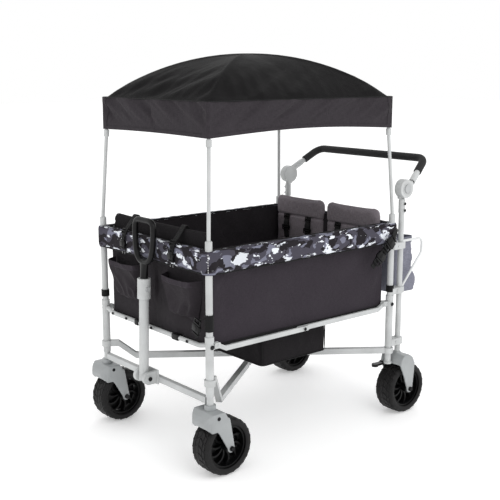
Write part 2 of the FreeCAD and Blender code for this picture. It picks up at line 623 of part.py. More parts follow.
def push_hub_caps():
    """Outer half of each hub, turning with the handle, with a well for the release button."""
    disc = rod(HUB_DISC_R, (HX + 2 + GAP, PUSH_Y, PUSH_Z), (HX + HUB_OUT, PUSH_Y, PUSH_Z))
    rim_edges = [e for e in disc.Edges if e.Closed and e.Curve.Center.x > HX + HUB_OUT - 1]
    disc = disc.makeFillet(3, rim_edges)
    bore = rod(8 + RUN, (HX, PUSH_Y, PUSH_Z), (HX + 11 + GAP, PUSH_Y, PUSH_Z))
    well = rod(BUTTON_R + GAP, (HX + 13, PUSH_Y, PUSH_Z), (HX + HUB_OUT + 1, PUSH_Y, PUSH_Z))
    lug = box((HX + 2 + GAP, HX + HUB_OUT), (PUSH_Y + 24, PUSH_Y + HUB_DISC_R + ARM_OFF - 3), (-9, 9))
    lug.translate(V(0, 0, PUSH_Z))
    lug.rotate(V(0, PUSH_Y, PUSH_Z), X_AXIS, degrees(atan2(PUSH_BAR_UP, PUSH_BAR_BACK)))
    return both(join([disc, lug]).cut(bore).cut(well))


def push_button():
    return rod(BUTTON_R, (HX + 16.5, PUSH_Y, PUSH_Z), (HX + HUB_OUT + 5, PUSH_Y, PUSH_Z))


def push_route():
    start = HUB_DISC_R + ARM_OFF
    slope = hypot(PUSH_BAR_BACK, PUSH_BAR_UP)
    dy, dz = PUSH_BAR_BACK / slope, PUSH_BAR_UP / slope
    foot = (HX + 11, PUSH_Y + dy * start, PUSH_Z + dz * start)
    corner = (PUSH_BAR_HALF, PUSH_Y + PUSH_BAR_BACK, PUSH_Z + PUSH_BAR_UP)
    return [foot, corner, (-corner[0],) + corner[1:], (-foot[0],) + foot[1:]]


def push_handle_tube():
    """The bent tube and the two arm sockets that hold it in the hub caps."""
    points = push_route()
    foot, corner = V(*points[0]), V(*points[1])
    along = (corner - foot).normalize()
    tube = bent_tube(points, PUSH_BEND, PUSH_TUBE_R)
    sockets = []
    for s in (-1, 1):
        base, tip = foot + along * 0, foot + along * 46
        sockets.append(ring(PUSH_TUBE_R + 2, PUSH_TUBE_R - 1, (s * base.x, base.y, base.z), (s * tip.x, tip.y, tip.z)))
    return join([tube] + sockets)


def push_grip():
    points = push_route()
    foot, corner = V(*points[0]), V(*points[1])
    along = (corner - foot).normalize()
    start = foot + along * 62
    ends = [(start.x, start.y, start.z), points[1], points[2], (-start.x, start.y, start.z)]
    wire = route(ends, PUSH_BEND)
    return swept(wire, PUSH_FOAM_R).cut(swept(wire, PUSH_TUBE_R + FIT))


# --- canopy ------------------------------------------------------------------------------------------
def canopy_post(end):
    """Canopy post of one corner, from inside its socket to the eave, with its collar."""
    y, knee_z, top_z = end * HY, LEG_TOP + SOCKET_H + 8, HEM_Z + 40
    lean_in = CANOPY_LEAN * (top_z - knee_z) / (HEM_Z - knee_z)
    foot, knee = (HX, y, LEG_TOP + 2), (HX, y, knee_z)
    top = (HX - lean_in, y - end * lean_in, top_z)
    post = rod(CANOPY_POST_R, foot, knee).fuse(Part.makeSphere(CANOPY_POST_R, V(*knee)))
    post = post.fuse(rod(CANOPY_POST_R, knee, top))
    along = (V(*top) - V(*knee)).normalize()
    at = V(*top) - along * 68
    collar = rod(10, tuple(at), tuple(at + along * 24))
    return both(post.fuse(collar).removeSplitter())


def arch_radius(rise, half):
    return (half ** 2 + rise ** 2) / (2 * rise)


def canopy_arches():
    """Two crossing diagonal poles; the second passes just under the first."""
    half = hypot(HX - CANOPY_LEAN, HY - CANOPY_LEAN) - 14
    arches = []
    for sign, drop in ((1, 0), (-1, 2 * ARCH_R + GAP)):
        top = APEX_Z - ROOF_T - ARCH_R - 4 - drop
        foot = EAVE_Z - 14
        ux, uy = (HX - CANOPY_LEAN) / (half + 14), sign * (HY - CANOPY_LEAN) / (half + 14)
        arc = Part.Wire([Part.Arc(V(-half * ux, -half * uy, foot), V(0, 0, top), V(half * ux, half * uy, foot)).toShape()])
        arches.append(swept(arc, ARCH_R))
        for s in (-1, 1):
            x, y = s * half * ux, s * half * uy
            arches.append(rod(ARCH_R, (x, y, HEM_Z + 48), (x, y, foot - 3)))
    return Part.makeCompound(arches)


def dome(half_x, half_y, base, top):
    """Four-sided dome whose ridges are circular arcs."""
    half = hypot(half_x, half_y)
    radius = arch_radius(top - base, half)
    sections = []
    for share in (1.0, 0.9, 0.78, 0.62, 0.44, 0.26, 0.12, 0.03):
        r = half * share
        z = top - radius + sqrt(radius ** 2 - r ** 2)
        x, y = half_x * share, half_y * share
        sections.append(Part.makePolygon([V(x, y, z), V(-x, y, z), V(-x, -y, z), V(x, -y, z), V(x, y, z)]))
    return Part.makeLoft(sections, True, True)


def canopy_roof():
    """Valance and dome as one open-bottomed shell."""
    outer = join([box((-ROOF_X, ROOF_X), (-ROOF_Y, ROOF_Y), (HEM_Z, EAVE_Z)), dome(ROOF_X, ROOF_Y, EAVE_Z, APEX_Z)])
    x, y = ROOF_X - ROOF_T, ROOF_Y - ROOF_T
    inner = join([box((-x, x), (-y, y), (HEM_Z - 1, EAVE_Z)), dome(x, y, EAVE_Z, APEX_Z - ROOF_T)])
    return outer.cut(inner)


# --- the whole wagon --------------------------------------------------------------------------------
def pieces():
    """Every node by name, about the centre between the legs."""
    nodes = {
        "rear_legs": rear_legs(),
        "rear_leg_sleeves": both(rail_bracket(HY, -1)),
        "push_posts": push_posts(),
        "rear_leg_clamps": rear_leg_clamps(),
        "rear_rails": end_rails(HY),
        "canopy_sockets_rear": canopy_sockets(HY),
        "push_hub_bases": push_hub_bases(),
        "fabric_tub": fabric_tub(),
        "bumper_cover": bumper_cover(),
        "seat_backs_rear": seat_backs_rear(),
        "bench_rear": bench(1),
        "footwell_basket": footwell_basket(),
        "rear_bag": rear_bag(),
        "bag_hoops": bag_hoops(),
        "push_handle_tube": push_handle_tube(),
        "push_hub_caps": push_hub_caps(),
        "push_grip": push_grip(),
        "front_legs": front_legs(),
        "front_leg_sleeves": both(rail_bracket(-HY, 1)),
        "bearing_cups": bearing_cups(),
        "front_rails": end_rails(-HY),
        "front_cross_tube": front_cross_tube(),
        "pull_pivot_bracket": pull_pivot_bracket(),
        "canopy_sockets_front": canopy_sockets(-HY),
        "front_back_panel": front_back_panel(),
        "bench_front": bench(-1),
        "front_pockets": front_pockets(),
        "pull_tube": pull_tube(),
        "pull_collar": pull_collar(),
        "pull_grip": pull_grip(),
        "pull_button": pull_button(),
        "side_rails_front": side_rail(-1),
        "side_rails_rear": side_rail(1),
        "brace_front_right": brace(-HX, -HY, SLEEVE_R, BRACE_HEAD_RIGHT, BRACE_HIGH_Z, True),
        "brace_rear_left": brace(HX, HY, LEG_R, BRACE_HIGH_Z, BRACE_HIGH_Z, True),
        "brace_front_left": brace(HX, -HY, SLEEVE_R, BRACE_HEAD_LEFT, BRACE_LOW_Z, False),
        "brace_rear_right": brace(-HX, HY, LEG_R, BRACE_LOW_Z, BRACE_LOW_Z, False),
        "canopy_posts_front": canopy_post(-1),
        "canopy_posts_rear": canopy_post(1),
        "canopy_arches": canopy_arches(),
        "canopy_roof": canopy_roof(),
    }
    rear_fork_left = rear_fork()
    rear_fork_left.translate(V(HX, 0, 0))
    nodes["rear_forks"] = both(rear_fork_left)
    nodes["rear_axles"] = both(at_wheel(axle(), 1, REAR_AXLE_Y))
    for side, name in ((1, "left"), (-1, "right")):
        flip = (lambda shape: shape) if side > 0 else mirrored
        fork_left = front_fork()
        fork_left.translate(V(HX, 0, 0))
        nodes["front_fork_" + name] = flip(fork_left)
        nodes["front_axle_" + name] = at_wheel(axle(), side, FRONT_AXLE_Y)
        nodes["brake_pedal_" + name] = flip(brake_pedal())
        nodes["push_button_" + name] = flip(push_button())
        for end, y in (("front", FRONT_AXLE_Y), ("rear", REAR_AXLE_Y)):
            nodes[f"{end}_tyre_{name}"] = at_wheel(tyre(), side, y)
            nodes[f"{end}_rim_{name}"] = at_wheel(rim(), side, y)
    return nodes


def middle_y(nodes):
    """Middle of the whole wagon along Y."""
    whole = Part.makeCompound(list(nodes.values())).optimalBoundingBox(False)
    return round((whole.YMin + whole.YMax) / 2, 2)


def main():
    os.makedirs("parts", exist_ok=True)
    nodes = pieces()
    shift = middle_y(nodes)
    for name, shape in nodes.items():
        shape.translate(V(0, -shift, 0))
        shape.exportStep(os.path.join("parts", name + ".step"))
        print(name, len(shape.Solids), shape.isValid(), round(shape.Volume / 1000.0, 1), "cm3")
    print("moved along y by", -shift)


if __name__ == "__main__":
    main()
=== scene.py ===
"""Folding children's wagon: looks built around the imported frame.

Every length is in metres. +Z is up, the pull handle is at -Y, the push handle at +Y.
"""

import json
import logging
import math
from dataclasses import dataclass, field
from enum import Enum
from typing import Callable, Iterable, Optional, Sequence

import bpy
from mathutils import Matrix, Vector, noise


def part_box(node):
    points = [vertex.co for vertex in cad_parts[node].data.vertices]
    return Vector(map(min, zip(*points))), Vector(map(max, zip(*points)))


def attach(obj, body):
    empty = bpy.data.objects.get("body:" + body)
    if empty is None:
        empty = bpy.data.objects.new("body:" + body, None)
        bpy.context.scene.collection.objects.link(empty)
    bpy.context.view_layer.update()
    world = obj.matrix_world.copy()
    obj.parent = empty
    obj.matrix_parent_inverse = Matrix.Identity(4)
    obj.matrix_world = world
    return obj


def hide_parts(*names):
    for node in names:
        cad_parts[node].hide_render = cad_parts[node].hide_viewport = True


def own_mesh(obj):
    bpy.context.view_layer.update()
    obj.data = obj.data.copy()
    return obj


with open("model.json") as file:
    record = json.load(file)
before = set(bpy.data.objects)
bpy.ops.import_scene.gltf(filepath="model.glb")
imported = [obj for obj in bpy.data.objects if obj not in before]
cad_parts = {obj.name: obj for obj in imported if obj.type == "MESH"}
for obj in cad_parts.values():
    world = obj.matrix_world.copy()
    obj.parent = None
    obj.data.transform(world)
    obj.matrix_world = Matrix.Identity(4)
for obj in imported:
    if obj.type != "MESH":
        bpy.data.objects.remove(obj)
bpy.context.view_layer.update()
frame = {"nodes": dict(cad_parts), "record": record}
LOG = logging.getLogger("wagon")

Point = Sequence[float]
Place = Callable[[float, float], Vector]
Colour = tuple[float, float, float]

MM = 0.001
TAU = 2 * math.pi


# --- shader graph -------------------------------------------------------------------------------
class Wire:
    """One output socket, with arithmetic that adds Math nodes."""

    def __init__(self, graph: "Graph", socket: bpy.types.NodeSocket) -> None:
        """Keeps the graph and the socket."""
        self.graph, self.socket = graph, socket

    def _math(self, operation: str, a: "Wire | float", b: "Wire | float" = 0.0) -> "Wire":
        """Adds a Math node for one operation on two values."""
        return self.graph.node("ShaderNodeMath", {"operation": operation}, {0: a, 1: b})

    def __add__(self, other: "Wire | float") -> "Wire":
        """self + other."""
        return self._math("ADD", self, other)

    __radd__ = __add__

    def __sub__(self, other: "Wire | float") -> "Wire":
        """self - other."""
        return self._math("SUBTRACT", self, other)

    def __rsub__(self, other: float) -> "Wire":
        """other - self."""
        return self._math("SUBTRACT", other, self)

    def __mul__(self, other: "Wire | float") -> "Wire":
        """self * other."""
        return self._math("MULTIPLY", self, other)

    __rmul__ = __mul__

    def over(self, edge: float, soft: float = 0.0) -> "Wire":
        """1 where the value is above an edge, with an optional soft step.

        Args:
            edge: Value at the middle of the step.
            soft: Width of the step.
        Returns:
            The mask.
        """
        if not soft:
            return self._math("GREATER_THAN", self, edge)
        settings = {"interpolation_type": "SMOOTHSTEP"}
        ends = {0: self, 1: edge - soft / 2, 2: edge + soft / 2}
        return self.graph.node("ShaderNodeMapRange", settings, ends)

    def sine(self) -> "Wire":
        """Sine of the value."""
        return self._math("SINE", self)

    def size(self) -> "Wire":
        """Absolute value."""
        return self._math("ABSOLUTE", self)


class Graph:
    """A material being built: adds nodes and ends in one surface shader."""

    def __init__(self, name: str) -> None:
        """Starts an empty material of that name."""
        self.material = bpy.data.materials.new(name)
        self.material.use_nodes = True
        self.tree = self.material.node_tree
        self.tree.nodes.clear()

    def node(self, kind: str, settings: Optional[dict] = None, sockets: Optional[dict] = None,
             out: int | str = 0) -> Wire:
        """Adds any node.

        Args:
            kind: Node type.
            settings: Attributes, set before the sockets.
            sockets: Values or wires by socket name or number.
            out: Output to give back.
        Returns:
            The chosen output.
        """
        node = self.tree.nodes.new(kind)
        for key, value in (settings or {}).items():
            setattr(node, key, value)
        for key, value in (sockets or {}).items():
            if isinstance(value, Wire):
                self.tree.links.new(value.socket, node.inputs[key])
            else:
                node.inputs[key].default_value = value
        return Wire(self, node.outputs[out])

    def place(self, scale: Point = (1, 1, 1), uv: bool = False) -> Wire:
        """Object or UV coordinates in metres, with an optional stretch."""
        source = self.node("ShaderNodeTexCoord", out="UV" if uv else "Object")
        return self.node("ShaderNodeMapping", {}, {"Vector": source, "Scale": scale})

    def parts(self, vector: Wire) -> tuple[Wire, Wire, Wire]:
        """X, Y and Z of a vector."""
        split = self.node("ShaderNodeSeparateXYZ", {}, {0: vector})
        return tuple(Wire(self, split.socket.node.outputs[i]) for i in range(3))

    def noise(self, vector: Wire, scale: float, detail: float = 2.0, rough: float = 0.5,
              twist: float = 0.0) -> Wire:
        """Noise value from 0 to 1."""
        values = {"Vector": vector, "Scale": scale, "Detail": detail, "Roughness": rough, "Distortion": twist}
        return self.node("ShaderNodeTexNoise", {}, values)

    def mix(self, share: Wire | float, first: Wire | Colour, second: Wire | Colour) -> Wire:
        """Mixes two colours."""
        pair = [c if isinstance(c, Wire) else (*c, 1.0) for c in (first, second)]
        return self.node("ShaderNodeMix", {"data_type": "RGBA"}, {0: share, 6: pair[0], 7: pair[1]}, out=2)

    def bump(self, height: Wire, depth: float, strength: float = 1.0, under: Optional[Wire] = None) -> Wire:
        """A bump of some depth in metres, over an optional earlier normal."""
        values = {"Height": height, "Distance": depth, "Strength": strength}
        if under is not None:
            values["Normal"] = under
        return self.node("ShaderNodeBump", {}, values)

    def surface(self, varying: dict, fixed: Optional[dict] = None) -> bpy.types.Material:
        """Ends the graph in a Principled shader.

        Args:
            varying: Wires or values by socket name.
            fixed: Constants set on the shader's own sockets.
        Returns:
            The finished material.
        """
        values = {}
        for key, value in {**varying, **(fixed or {})}.items():
            values[key] = (*value, 1.0) if isinstance(value, tuple) and len(value) == 3 else value
        shader = self.node("ShaderNodeBsdfPrincipled", {}, values)
        output = self.tree.nodes.new("ShaderNodeOutputMaterial")
        self.tree.links.new(shader.socket, output.inputs["Surface"])
        return self.material


def tone(red: int, green: int, blue: int) -> Colour:
    """A display colour of 0-255 parts as linear light."""
    return tuple(((c / 255 + 0.055) / 1.055) ** 2.4 if c > 10 else c / 255 / 12.92 for c in (red, green, blue))


# --- finishes -----------------------------------------------------------------------------------
MADE: dict[object, bpy.types.Material] = {}


class Finish:
    """A finish that makes its material once."""

    def material(self) -> bpy.types.Material:
        """The material, made on first use."""
        if self not in MADE:
            MADE[self] = self.build()
        return MADE[self]

    def build(self) -> bpy.types.Material:
        """Makes the material."""
        raise NotImplementedError


@dataclass(frozen=True)
class PaintedTube(Finish):
    """Satin powder coat with a fine orange-peel grain and faint handling marks."""

    name: str
    colour: Colour
    roughness: float = 0.38
    metallic: float = 0.0
    grain: float = 0.00004

    def build(self) -> bpy.types.Material:
        """Makes the material."""
        g = Graph(self.name)
        at = g.place()
        cloud = g.noise(at, 9.0, 3.0)
        marks = g.noise(g.place((1, 1, 0.15)), 160.0, 2.0).over(0.64, 0.1)
        dark = tuple(c * 0.86 for c in self.colour)
        light = tuple(min(1.0, c * 1.06) for c in self.colour)
        base = g.mix(cloud.over(0.5, 0.5), dark, light)
        rough = self.roughness + 0.10 * (cloud - 0.5) + 0.08 * marks
        peel = g.noise(at, 1500.0, 1.0)
        return g.surface({"Base Color": base, "Roughness": rough, "Normal": g.bump(peel, self.grain)},
                         {"Metallic": self.metallic, "Specular IOR Level": 0.45})


@dataclass(frozen=True)
class Moulded(Finish):
    """Moulded plastic with a spark-eroded grain."""

    name: str
    colour: Colour
    roughness: float = 0.5
    pitch: float = 900.0
    depth: float = 0.00008
    gloss: float = 0.5

    def build(self) -> bpy.types.Material:
        """Makes the material."""
        g = Graph(self.name)
        at = g.place()
        cloud = g.noise(at, 14.0, 3.0)
        grain = g.noise(at, self.pitch, 2.0, 0.6)
        base = g.mix(cloud.over(0.5, 0.6), tuple(c * 0.85 for c in self.colour), tuple(c * 1.12 for c in self.colour))
        rough = self.roughness + 0.12 * (grain - 0.5) + 0.06 * (cloud - 0.5)
        return g.surface({"Base Color": base, "Roughness": rough, "Normal": g.bump(grain, self.depth)},
                         {"Specular IOR Level": self.gloss})


@dataclass(frozen=True)
class Rubber(Finish):
    """Moulded rubber, dustier where it is rough."""

    name: str
    colour: Colour
    dust: Colour
    roughness: float = 0.72

    def build(self) -> bpy.types.Material:
        """Makes the material."""
        g = Graph(self.name)
        at = g.place()
        cloud = g.noise(at, 22.0, 4.0, 0.6)
        grain = g.noise(at, 1100.0, 2.0)
        base = g.mix(cloud.over(0.6, 0.3) * 0.5, self.colour, self.dust)
        rough = self.roughness + 0.14 * (cloud - 0.5)
        normal = g.bump(grain, 0.0001, 1.0, g.bump(cloud, 0.0004))
        return g.surface({"Base Color": base, "Roughness": rough, "Normal": normal}, {"Specular IOR Level": 0.28})


class Weave(Enum):
    """How a cloth is woven, as thread pitch in metres."""

    OXFORD = 0.0011
    LINING = 0.0008
    PADDED = 0.0014


@dataclass(frozen=True)
class Cloth(Finish):
    """Plain woven cloth on a UV map in metres, with slubs, creases and a faint sheen."""

    name: str
    colour: Colour
    weave: Weave = Weave.OXFORD
    contrast: float = 0.22
    crease: float = 0.0012
    roughness: float = 0.82
    sheen: float = 0.03
    gloss: float = 0.08

    def threads(self, g: Graph) -> tuple[Wire, Wire]:
        """Thread height and the slub noise along both thread directions."""
        pitch = self.weave.value
        u, v, _ = g.parts(g.place(uv=True))
        k = math.pi / pitch
        warp, weft = (u * k).sine(), (v * k).sine()
        height = (warp * weft).size() * 0.6 + warp.size() * 0.2 + weft.size() * 0.2
        slub = g.noise(g.place((0.06, 1, 1), uv=True), 900.0) + g.noise(g.place((1, 0.06, 1), uv=True), 900.0)
        return height, slub * 0.5

    def colours(self, g: Graph, slub: Wire) -> Wire:
        """Cloth colour before wear."""
        low = tuple(c * (1 - self.contrast) for c in self.colour)
        high = tuple(c * (1 + self.contrast) for c in self.colour)
        return g.mix(slub.over(0.5, 0.22), low, high)

    def build(self) -> bpy.types.Material:
        """Makes the material."""
        g = Graph(self.name)
        height, slub = self.threads(g)
        wear = g.noise(g.place(), 6.0, 3.0)
        base = self.colours(g, slub)
        base = g.mix(wear.over(0.62, 0.3) * 0.18, base, tuple(min(1, c * 1.5 + 0.01) for c in self.colour))
        creases = g.noise(g.place((1, 1, 0.6)), 17.0, 3.0, 0.55, 0.6)
        normal = g.bump(height * 0.7 + slub * 0.3, self.weave.value * 0.22, 0.8, g.bump(creases, self.crease * 4, 0.5))
        rough = self.roughness + 0.12 * (slub - 0.5)
        return g.surface({"Base Color": base, "Roughness": rough, "Normal": normal},
                         {"Sheen Weight": self.sheen, "Sheen Roughness": 0.5, "Specular IOR Level": self.gloss})


@dataclass(frozen=True)
class PrintedCloth(Cloth):
    """Woven cloth with an irregular patch print in four tones."""

    patch: Colour = (0.1, 0.1, 0.12)
    pale: Colour = (0.2, 0.2, 0.25)
    white: Colour = (0.8, 0.82, 0.85)

    def colours(self, g: Graph, slub: Wire) -> Wire:
        """The print: smooth patches in two tones under ragged white ones."""
        at = g.place((0.72, 1.3, 1), uv=True)
        shift = g.place((0.72, 1.3, 1), uv=True)
        shift.socket.node.inputs["Location"].default_value = (3.7, 1.3, 0)
        far = g.place((0.62, 1.35, 1), uv=True)
        far.socket.node.inputs["Location"].default_value = (8.1, 5.2, 0)
        edge = g.noise(at, 150.0, 2.0, 0.6)
        patches = (g.noise(at, 25.0, 1.0, 0.5, 0.35) + 0.10 * (edge - 0.5)).over(0.512)
        pales = (g.noise(shift, 24.0, 1.0, 0.5, 0.35) + 0.12 * (edge - 0.5)).over(0.592)
        ragged = (g.noise(far, 31.0, 1.5, 0.5, 0.2) + 0.44 * (g.noise(far, 110.0, 2.0, 0.6) - 0.5)).over(0.612)
        base = super().colours(g, slub)
        base = g.mix(patches, base, self.patch)
        base = g.mix(pales, base, self.pale)
        return g.mix(ragged, base, self.white)


@dataclass(frozen=True)
class Webbing(Finish):
    """Ribbed narrow webbing on a UV map in metres: u across, v along."""

    name: str
    colour: Colour
    pitch: float = 0.0016

    def build(self) -> bpy.types.Material:
        """Makes the material."""
        g = Graph(self.name)
        u, v, _ = g.parts(g.place(uv=True))
        across, along = (u * (math.pi / self.pitch)).sine().size(), (v * (math.pi / self.pitch / 1.4)).sine().size()
        height = across * 0.65 + along * 0.35
        # Painted shade and highlight: the grooves between the ribs are darkened and the rib tops lightened, following
        # the rib height.
        base = g.mix(height, tuple(c * 0.6 for c in self.colour), tuple(c * 1.4 for c in self.colour))
        rough = 0.6 + 0.2 * height
        return g.surface({"Base Color": base, "Roughness": rough, "Normal": g.bump(height, 0.0003)},
                         {"Sheen Weight": 0.04, "Specular IOR Level": 0.2})


@dataclass(frozen=True)
class Foam(Finish):
    """Closed-cell foam sleeve."""

    name: str
    colour: Colour

    def build(self) -> bpy.types.Material:
        """Makes the material."""
        g = Graph(self.name)
        at = g.place()
        cells = g.node("ShaderNodeTexVoronoi", {}, {"Vector": at, "Scale": 700.0})
        cloud = g.noise(at, 18.0, 3.0)
        base = g.mix(cloud.over(0.5, 0.5), tuple(c * 0.8 for c in self.colour), tuple(c * 1.25 for c in self.colour))
        rough = 0.78 + 0.12 * (cloud - 0.5)
        return g.surface({"Base Color": base, "Roughness": rough, "Normal": g.bump(cells, 0.0002)})


STEEL = PaintedTube("frame_paint", tone(191, 193, 193))
ALLOY = PaintedTube("fork_paint", tone(158, 161, 162), 0.42, 0.1, 0.00007)
WIRE = PaintedTube("wire_coat", tone(222, 224, 224), 0.3)
DARK_BOLT = PaintedTube("dark_bolt", tone(26, 26, 28), 0.35, 0.6)
GREY_PLASTIC = Moulded("grey_plastic", tone(188, 190, 190), 0.48)
BUTTON = Moulded("button_plastic", tone(172, 174, 175), 0.4)
BLACK_PLASTIC = Moulded("black_plastic", tone(12, 12, 13), 0.36, gloss=0.22)
RIM_PLASTIC = Moulded("rim_plastic", tone(10, 10, 11), 0.42, gloss=0.2)
BUCKLE = Moulded("buckle_plastic", tone(8, 8, 9), 0.32, 600.0, 0.00004, 0.2)
TYRE = Rubber("tyre_rubber", tone(15, 14, 15), tone(30, 28, 28), 0.58)
FOAM = Foam("foam_grip", tone(20, 20, 21))
SHELL = Cloth("shell_cloth", tone(50, 45, 51), contrast=0.12, crease=0.0022, gloss=0.12)
VALANCE = Cloth("valance_cloth", tone(50, 46, 50), crease=0.0026, gloss=0.14)
DOME = Cloth("dome_cloth", tone(16, 15, 16), sheen=0.0, roughness=0.66, gloss=0.08, crease=0.0016)
WELL = Cloth("footwell_cloth", tone(31, 29, 31), Weave.LINING, crease=0.002)
# Pocket cloth: the shell's cloth painted darker, standing in for the shade that falls on the front pockets.
POCKET_PAINTED_SHADE = Cloth("pocket_cloth_painted_shade", tone(43, 39, 43), contrast=0.12, crease=0.0022, gloss=0.12)
LINER = Cloth("liner_cloth", tone(44, 41, 44), Weave.LINING, crease=0.002)
SEAT = Cloth("seat_cloth", tone(124, 117, 122), Weave.PADDED, sheen=0.05)
PAD = Cloth("pad_cloth", tone(26, 24, 26), Weave.PADDED)
BAG = Cloth("bag_cloth", tone(126, 127, 139), contrast=0.16)
CAMO = PrintedCloth("patch_print", tone(36, 33, 37), patch=tone(72, 70, 80), pale=tone(118, 119, 134),
                    white=tone(226, 230, 236), contrast=0.1)
STRAP = Webbing("strap_web", tone(15, 15, 16))
BINDING = Webbing("edge_binding", tone(14, 14, 15), 0.001)
THREAD = Webbing("white_thread", tone(215, 215, 215), 0.0006)
DARK_THREAD = Webbing("dark_thread", tone(84, 80, 86), 0.0006)


# --- making meshes ------------------------------------------------------------------------------
def deselect() -> None:
    """Leaves nothing selected or active."""
    if bpy.context.object and bpy.context.object.mode != "OBJECT":
        bpy.ops.object.mode_set(mode="OBJECT")
    bpy.ops.object.select_all(action="DESELECT")
    bpy.context.view_layer.objects.active = None


def pick(obj: bpy.types.Object) -> None:
    """Makes one object selected and active."""
    deselect()
    obj.select_set(True)
    bpy.context.view_layer.objects.active = obj


def named(name: str) -> bpy.types.Object:
    """Names the object that was just added and bakes its place into its mesh."""
    obj = bpy.context.object
    obj.name = obj.data.name = name
    bpy.ops.object.transform_apply(location=True, rotation=True, scale=True)
    return obj


def modify(obj: bpy.types.Object, kind: str, **settings: object) -> None:
    """Adds one modifier and applies it."""
    pick(obj)
    mod = obj.modifiers.new(kind, kind)
    for key, value in settings.items():
        setattr(mod, key, value)
    bpy.ops.object.modifier_apply(modifier=mod.name)


def choose(obj: bpy.types.Object, kind: str, test: Callable[[object], bool]) -> None:
    """Enters edit mode with only the faces or edges that pass a test selected."""
    pick(obj)
    bpy.ops.object.mode_set(mode="EDIT")
    bpy.ops.mesh.select_mode(type=kind)
    bpy.ops.mesh.select_all(action="DESELECT")
    bpy.ops.object.mode_set(mode="OBJECT")
    for item in obj.data.polygons if kind == "FACE" else obj.data.edges:
        item.select = test(item)
    bpy.ops.object.mode_set(mode="EDIT")


def smooth(obj: bpy.types.Object, degrees: float = 40.0) -> None:
    """Shades smooth up to an angle."""
    pick(obj)
    bpy.ops.object.shade_smooth_by_angle(angle=math.radians(degrees))


def weld(obj: bpy.types.Object, distance: float = 1e-5) -> None:
    """Merges doubled vertices and turns the faces outwards."""
    pick(obj)
    bpy.ops.object.mode_set(mode="EDIT")
    bpy.ops.mesh.select_all(action="SELECT")
    bpy.ops.mesh.remove_doubles(threshold=distance)
    bpy.ops.mesh.normals_make_consistent(inside=False)
    bpy.ops.object.mode_set(mode="OBJECT")


def surface(name: str, columns: int, rows: int, place: Place, size: Point = (1.0, 1.0),
            welded: bool = False) -> bpy.types.Object:
    """A grid laid over a shape.

    Args:
        name: Object name.
        columns: Faces along u.
        rows: Faces along v.
        place: Gives the point at (u, v), each from 0 to 1.
        size: Real width and length, kept in the UV map in metres.
        welded: Whether opposite edges meet and are merged.
    Returns:
        The mesh object.
    """
    deselect()
    bpy.ops.mesh.primitive_grid_add(x_subdivisions=columns, y_subdivisions=rows, size=1)
    obj = bpy.context.object
    obj.name = obj.data.name = name
    for loop in obj.data.uv_layers[0].data:
        loop.uv = (loop.uv[0] * size[0], loop.uv[1] * size[1])
    for vertex in obj.data.vertices:
        vertex.co = place(vertex.co.x + 0.5, vertex.co.y + 0.5)
    if welded:
        weld(obj)
    return obj


def thicken(obj: bpy.types.Object, thickness: float, offset: float = -1.0) -> None:
    """Gives a sheet its wall."""
    modify(obj, "SOLIDIFY", thickness=thickness, offset=offset, use_even_offset=False)


def block(name: str, low: Point, high: Point, bevel: float = 0.002, segments: int = 3) -> bpy.types.Object:
    """A rounded block between two corners."""
    deselect()
    middle = [(a + b) / 2 for a, b in zip(low, high)]
    bpy.ops.mesh.primitive_cube_add(size=1, location=middle, scale=[b - a for a, b in zip(low, high)])
    obj = named(name)
    modify(obj, "BEVEL", width=bevel, segments=segments)
    smooth(obj)
    return obj


def drum(name: str, radius: float, start: Point, end: Point, bevel: float = 0.0008,
         sides: int = 32) -> bpy.types.Object:
    """A short round bar between two points, its rims rounded."""
    deselect()
    start, end = Vector(start), Vector(end)
    turn = (end - start).to_track_quat("Z", "Y").to_euler()
    bpy.ops.mesh.primitive_cylinder_add(vertices=sides, radius=radius, depth=(end - start).length,
                                        location=(start + end) / 2, rotation=turn)
    obj = named(name)
    modify(obj, "BEVEL", width=bevel, segments=2, limit_method="ANGLE", angle_limit=math.radians(50))
    smooth(obj)
    return obj


def join(name: str, parts: Sequence[bpy.types.Object]) -> bpy.types.Object:
    """Joins meshes into one object of that name."""
    deselect()
    for part in parts:
        part.select_set(True)
    bpy.context.view_layer.objects.active = parts[0]
    if len(parts) > 1:
        bpy.ops.object.join()
    obj = bpy.context.object
    obj.name = obj.data.name = name
    return obj


def copy(obj: bpy.types.Object, name: str, matrix: Matrix) -> bpy.types.Object:
    """A copy with its own mesh, moved by a matrix that is baked in."""
    twin = obj.copy()
    twin.data = obj.data.copy()
    twin.name = twin.data.name = name
    bpy.context.scene.collection.objects.link(twin)
    twin.data.transform(matrix)
    if matrix.determinant() < 0:
        twin.data.flip_normals()
    return twin


def finish(obj: bpy.types.Object, look: Finish, body: str,
           replaces: Iterable[str] = ()) -> bpy.types.Object:
    """Dresses a new piece and sets what it rides on.

    Args:
        obj: The piece.
        look: Its finish.
        body: The body it moves with.
        replaces: CAD nodes it stands for.
    Returns:
        The piece.
    """
    obj.data.materials.clear()
    obj.data.materials.append(look.material())
    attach(obj, body)
    for node in replaces:
        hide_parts(node)
    LOG.info("%s: %d faces on %s", obj.name, len(obj.data.polygons), body)
    return obj


def dress(look: Finish, *nodes: str) -> None:
    """Gives CAD nodes their finish."""
    for node in nodes:
        obj = frame["nodes"][node]
        obj.data.materials.clear()
        obj.data.materials.append(look.material())
        smooth(obj, 35)


# --- curves and outlines ------------------------------------------------------------------------
def ease(x: float) -> float:
    """Smooth step from 0 to 1."""
    x = min(1.0, max(0.0, x))
    return x * x * (3 - 2 * x)


def wobble(x: float, y: float = 0.0, z: float = 0.0) -> float:
    """Smooth noise of about -1 to 1."""
    return noise.noise(Vector((x, y, z))) * 1.6


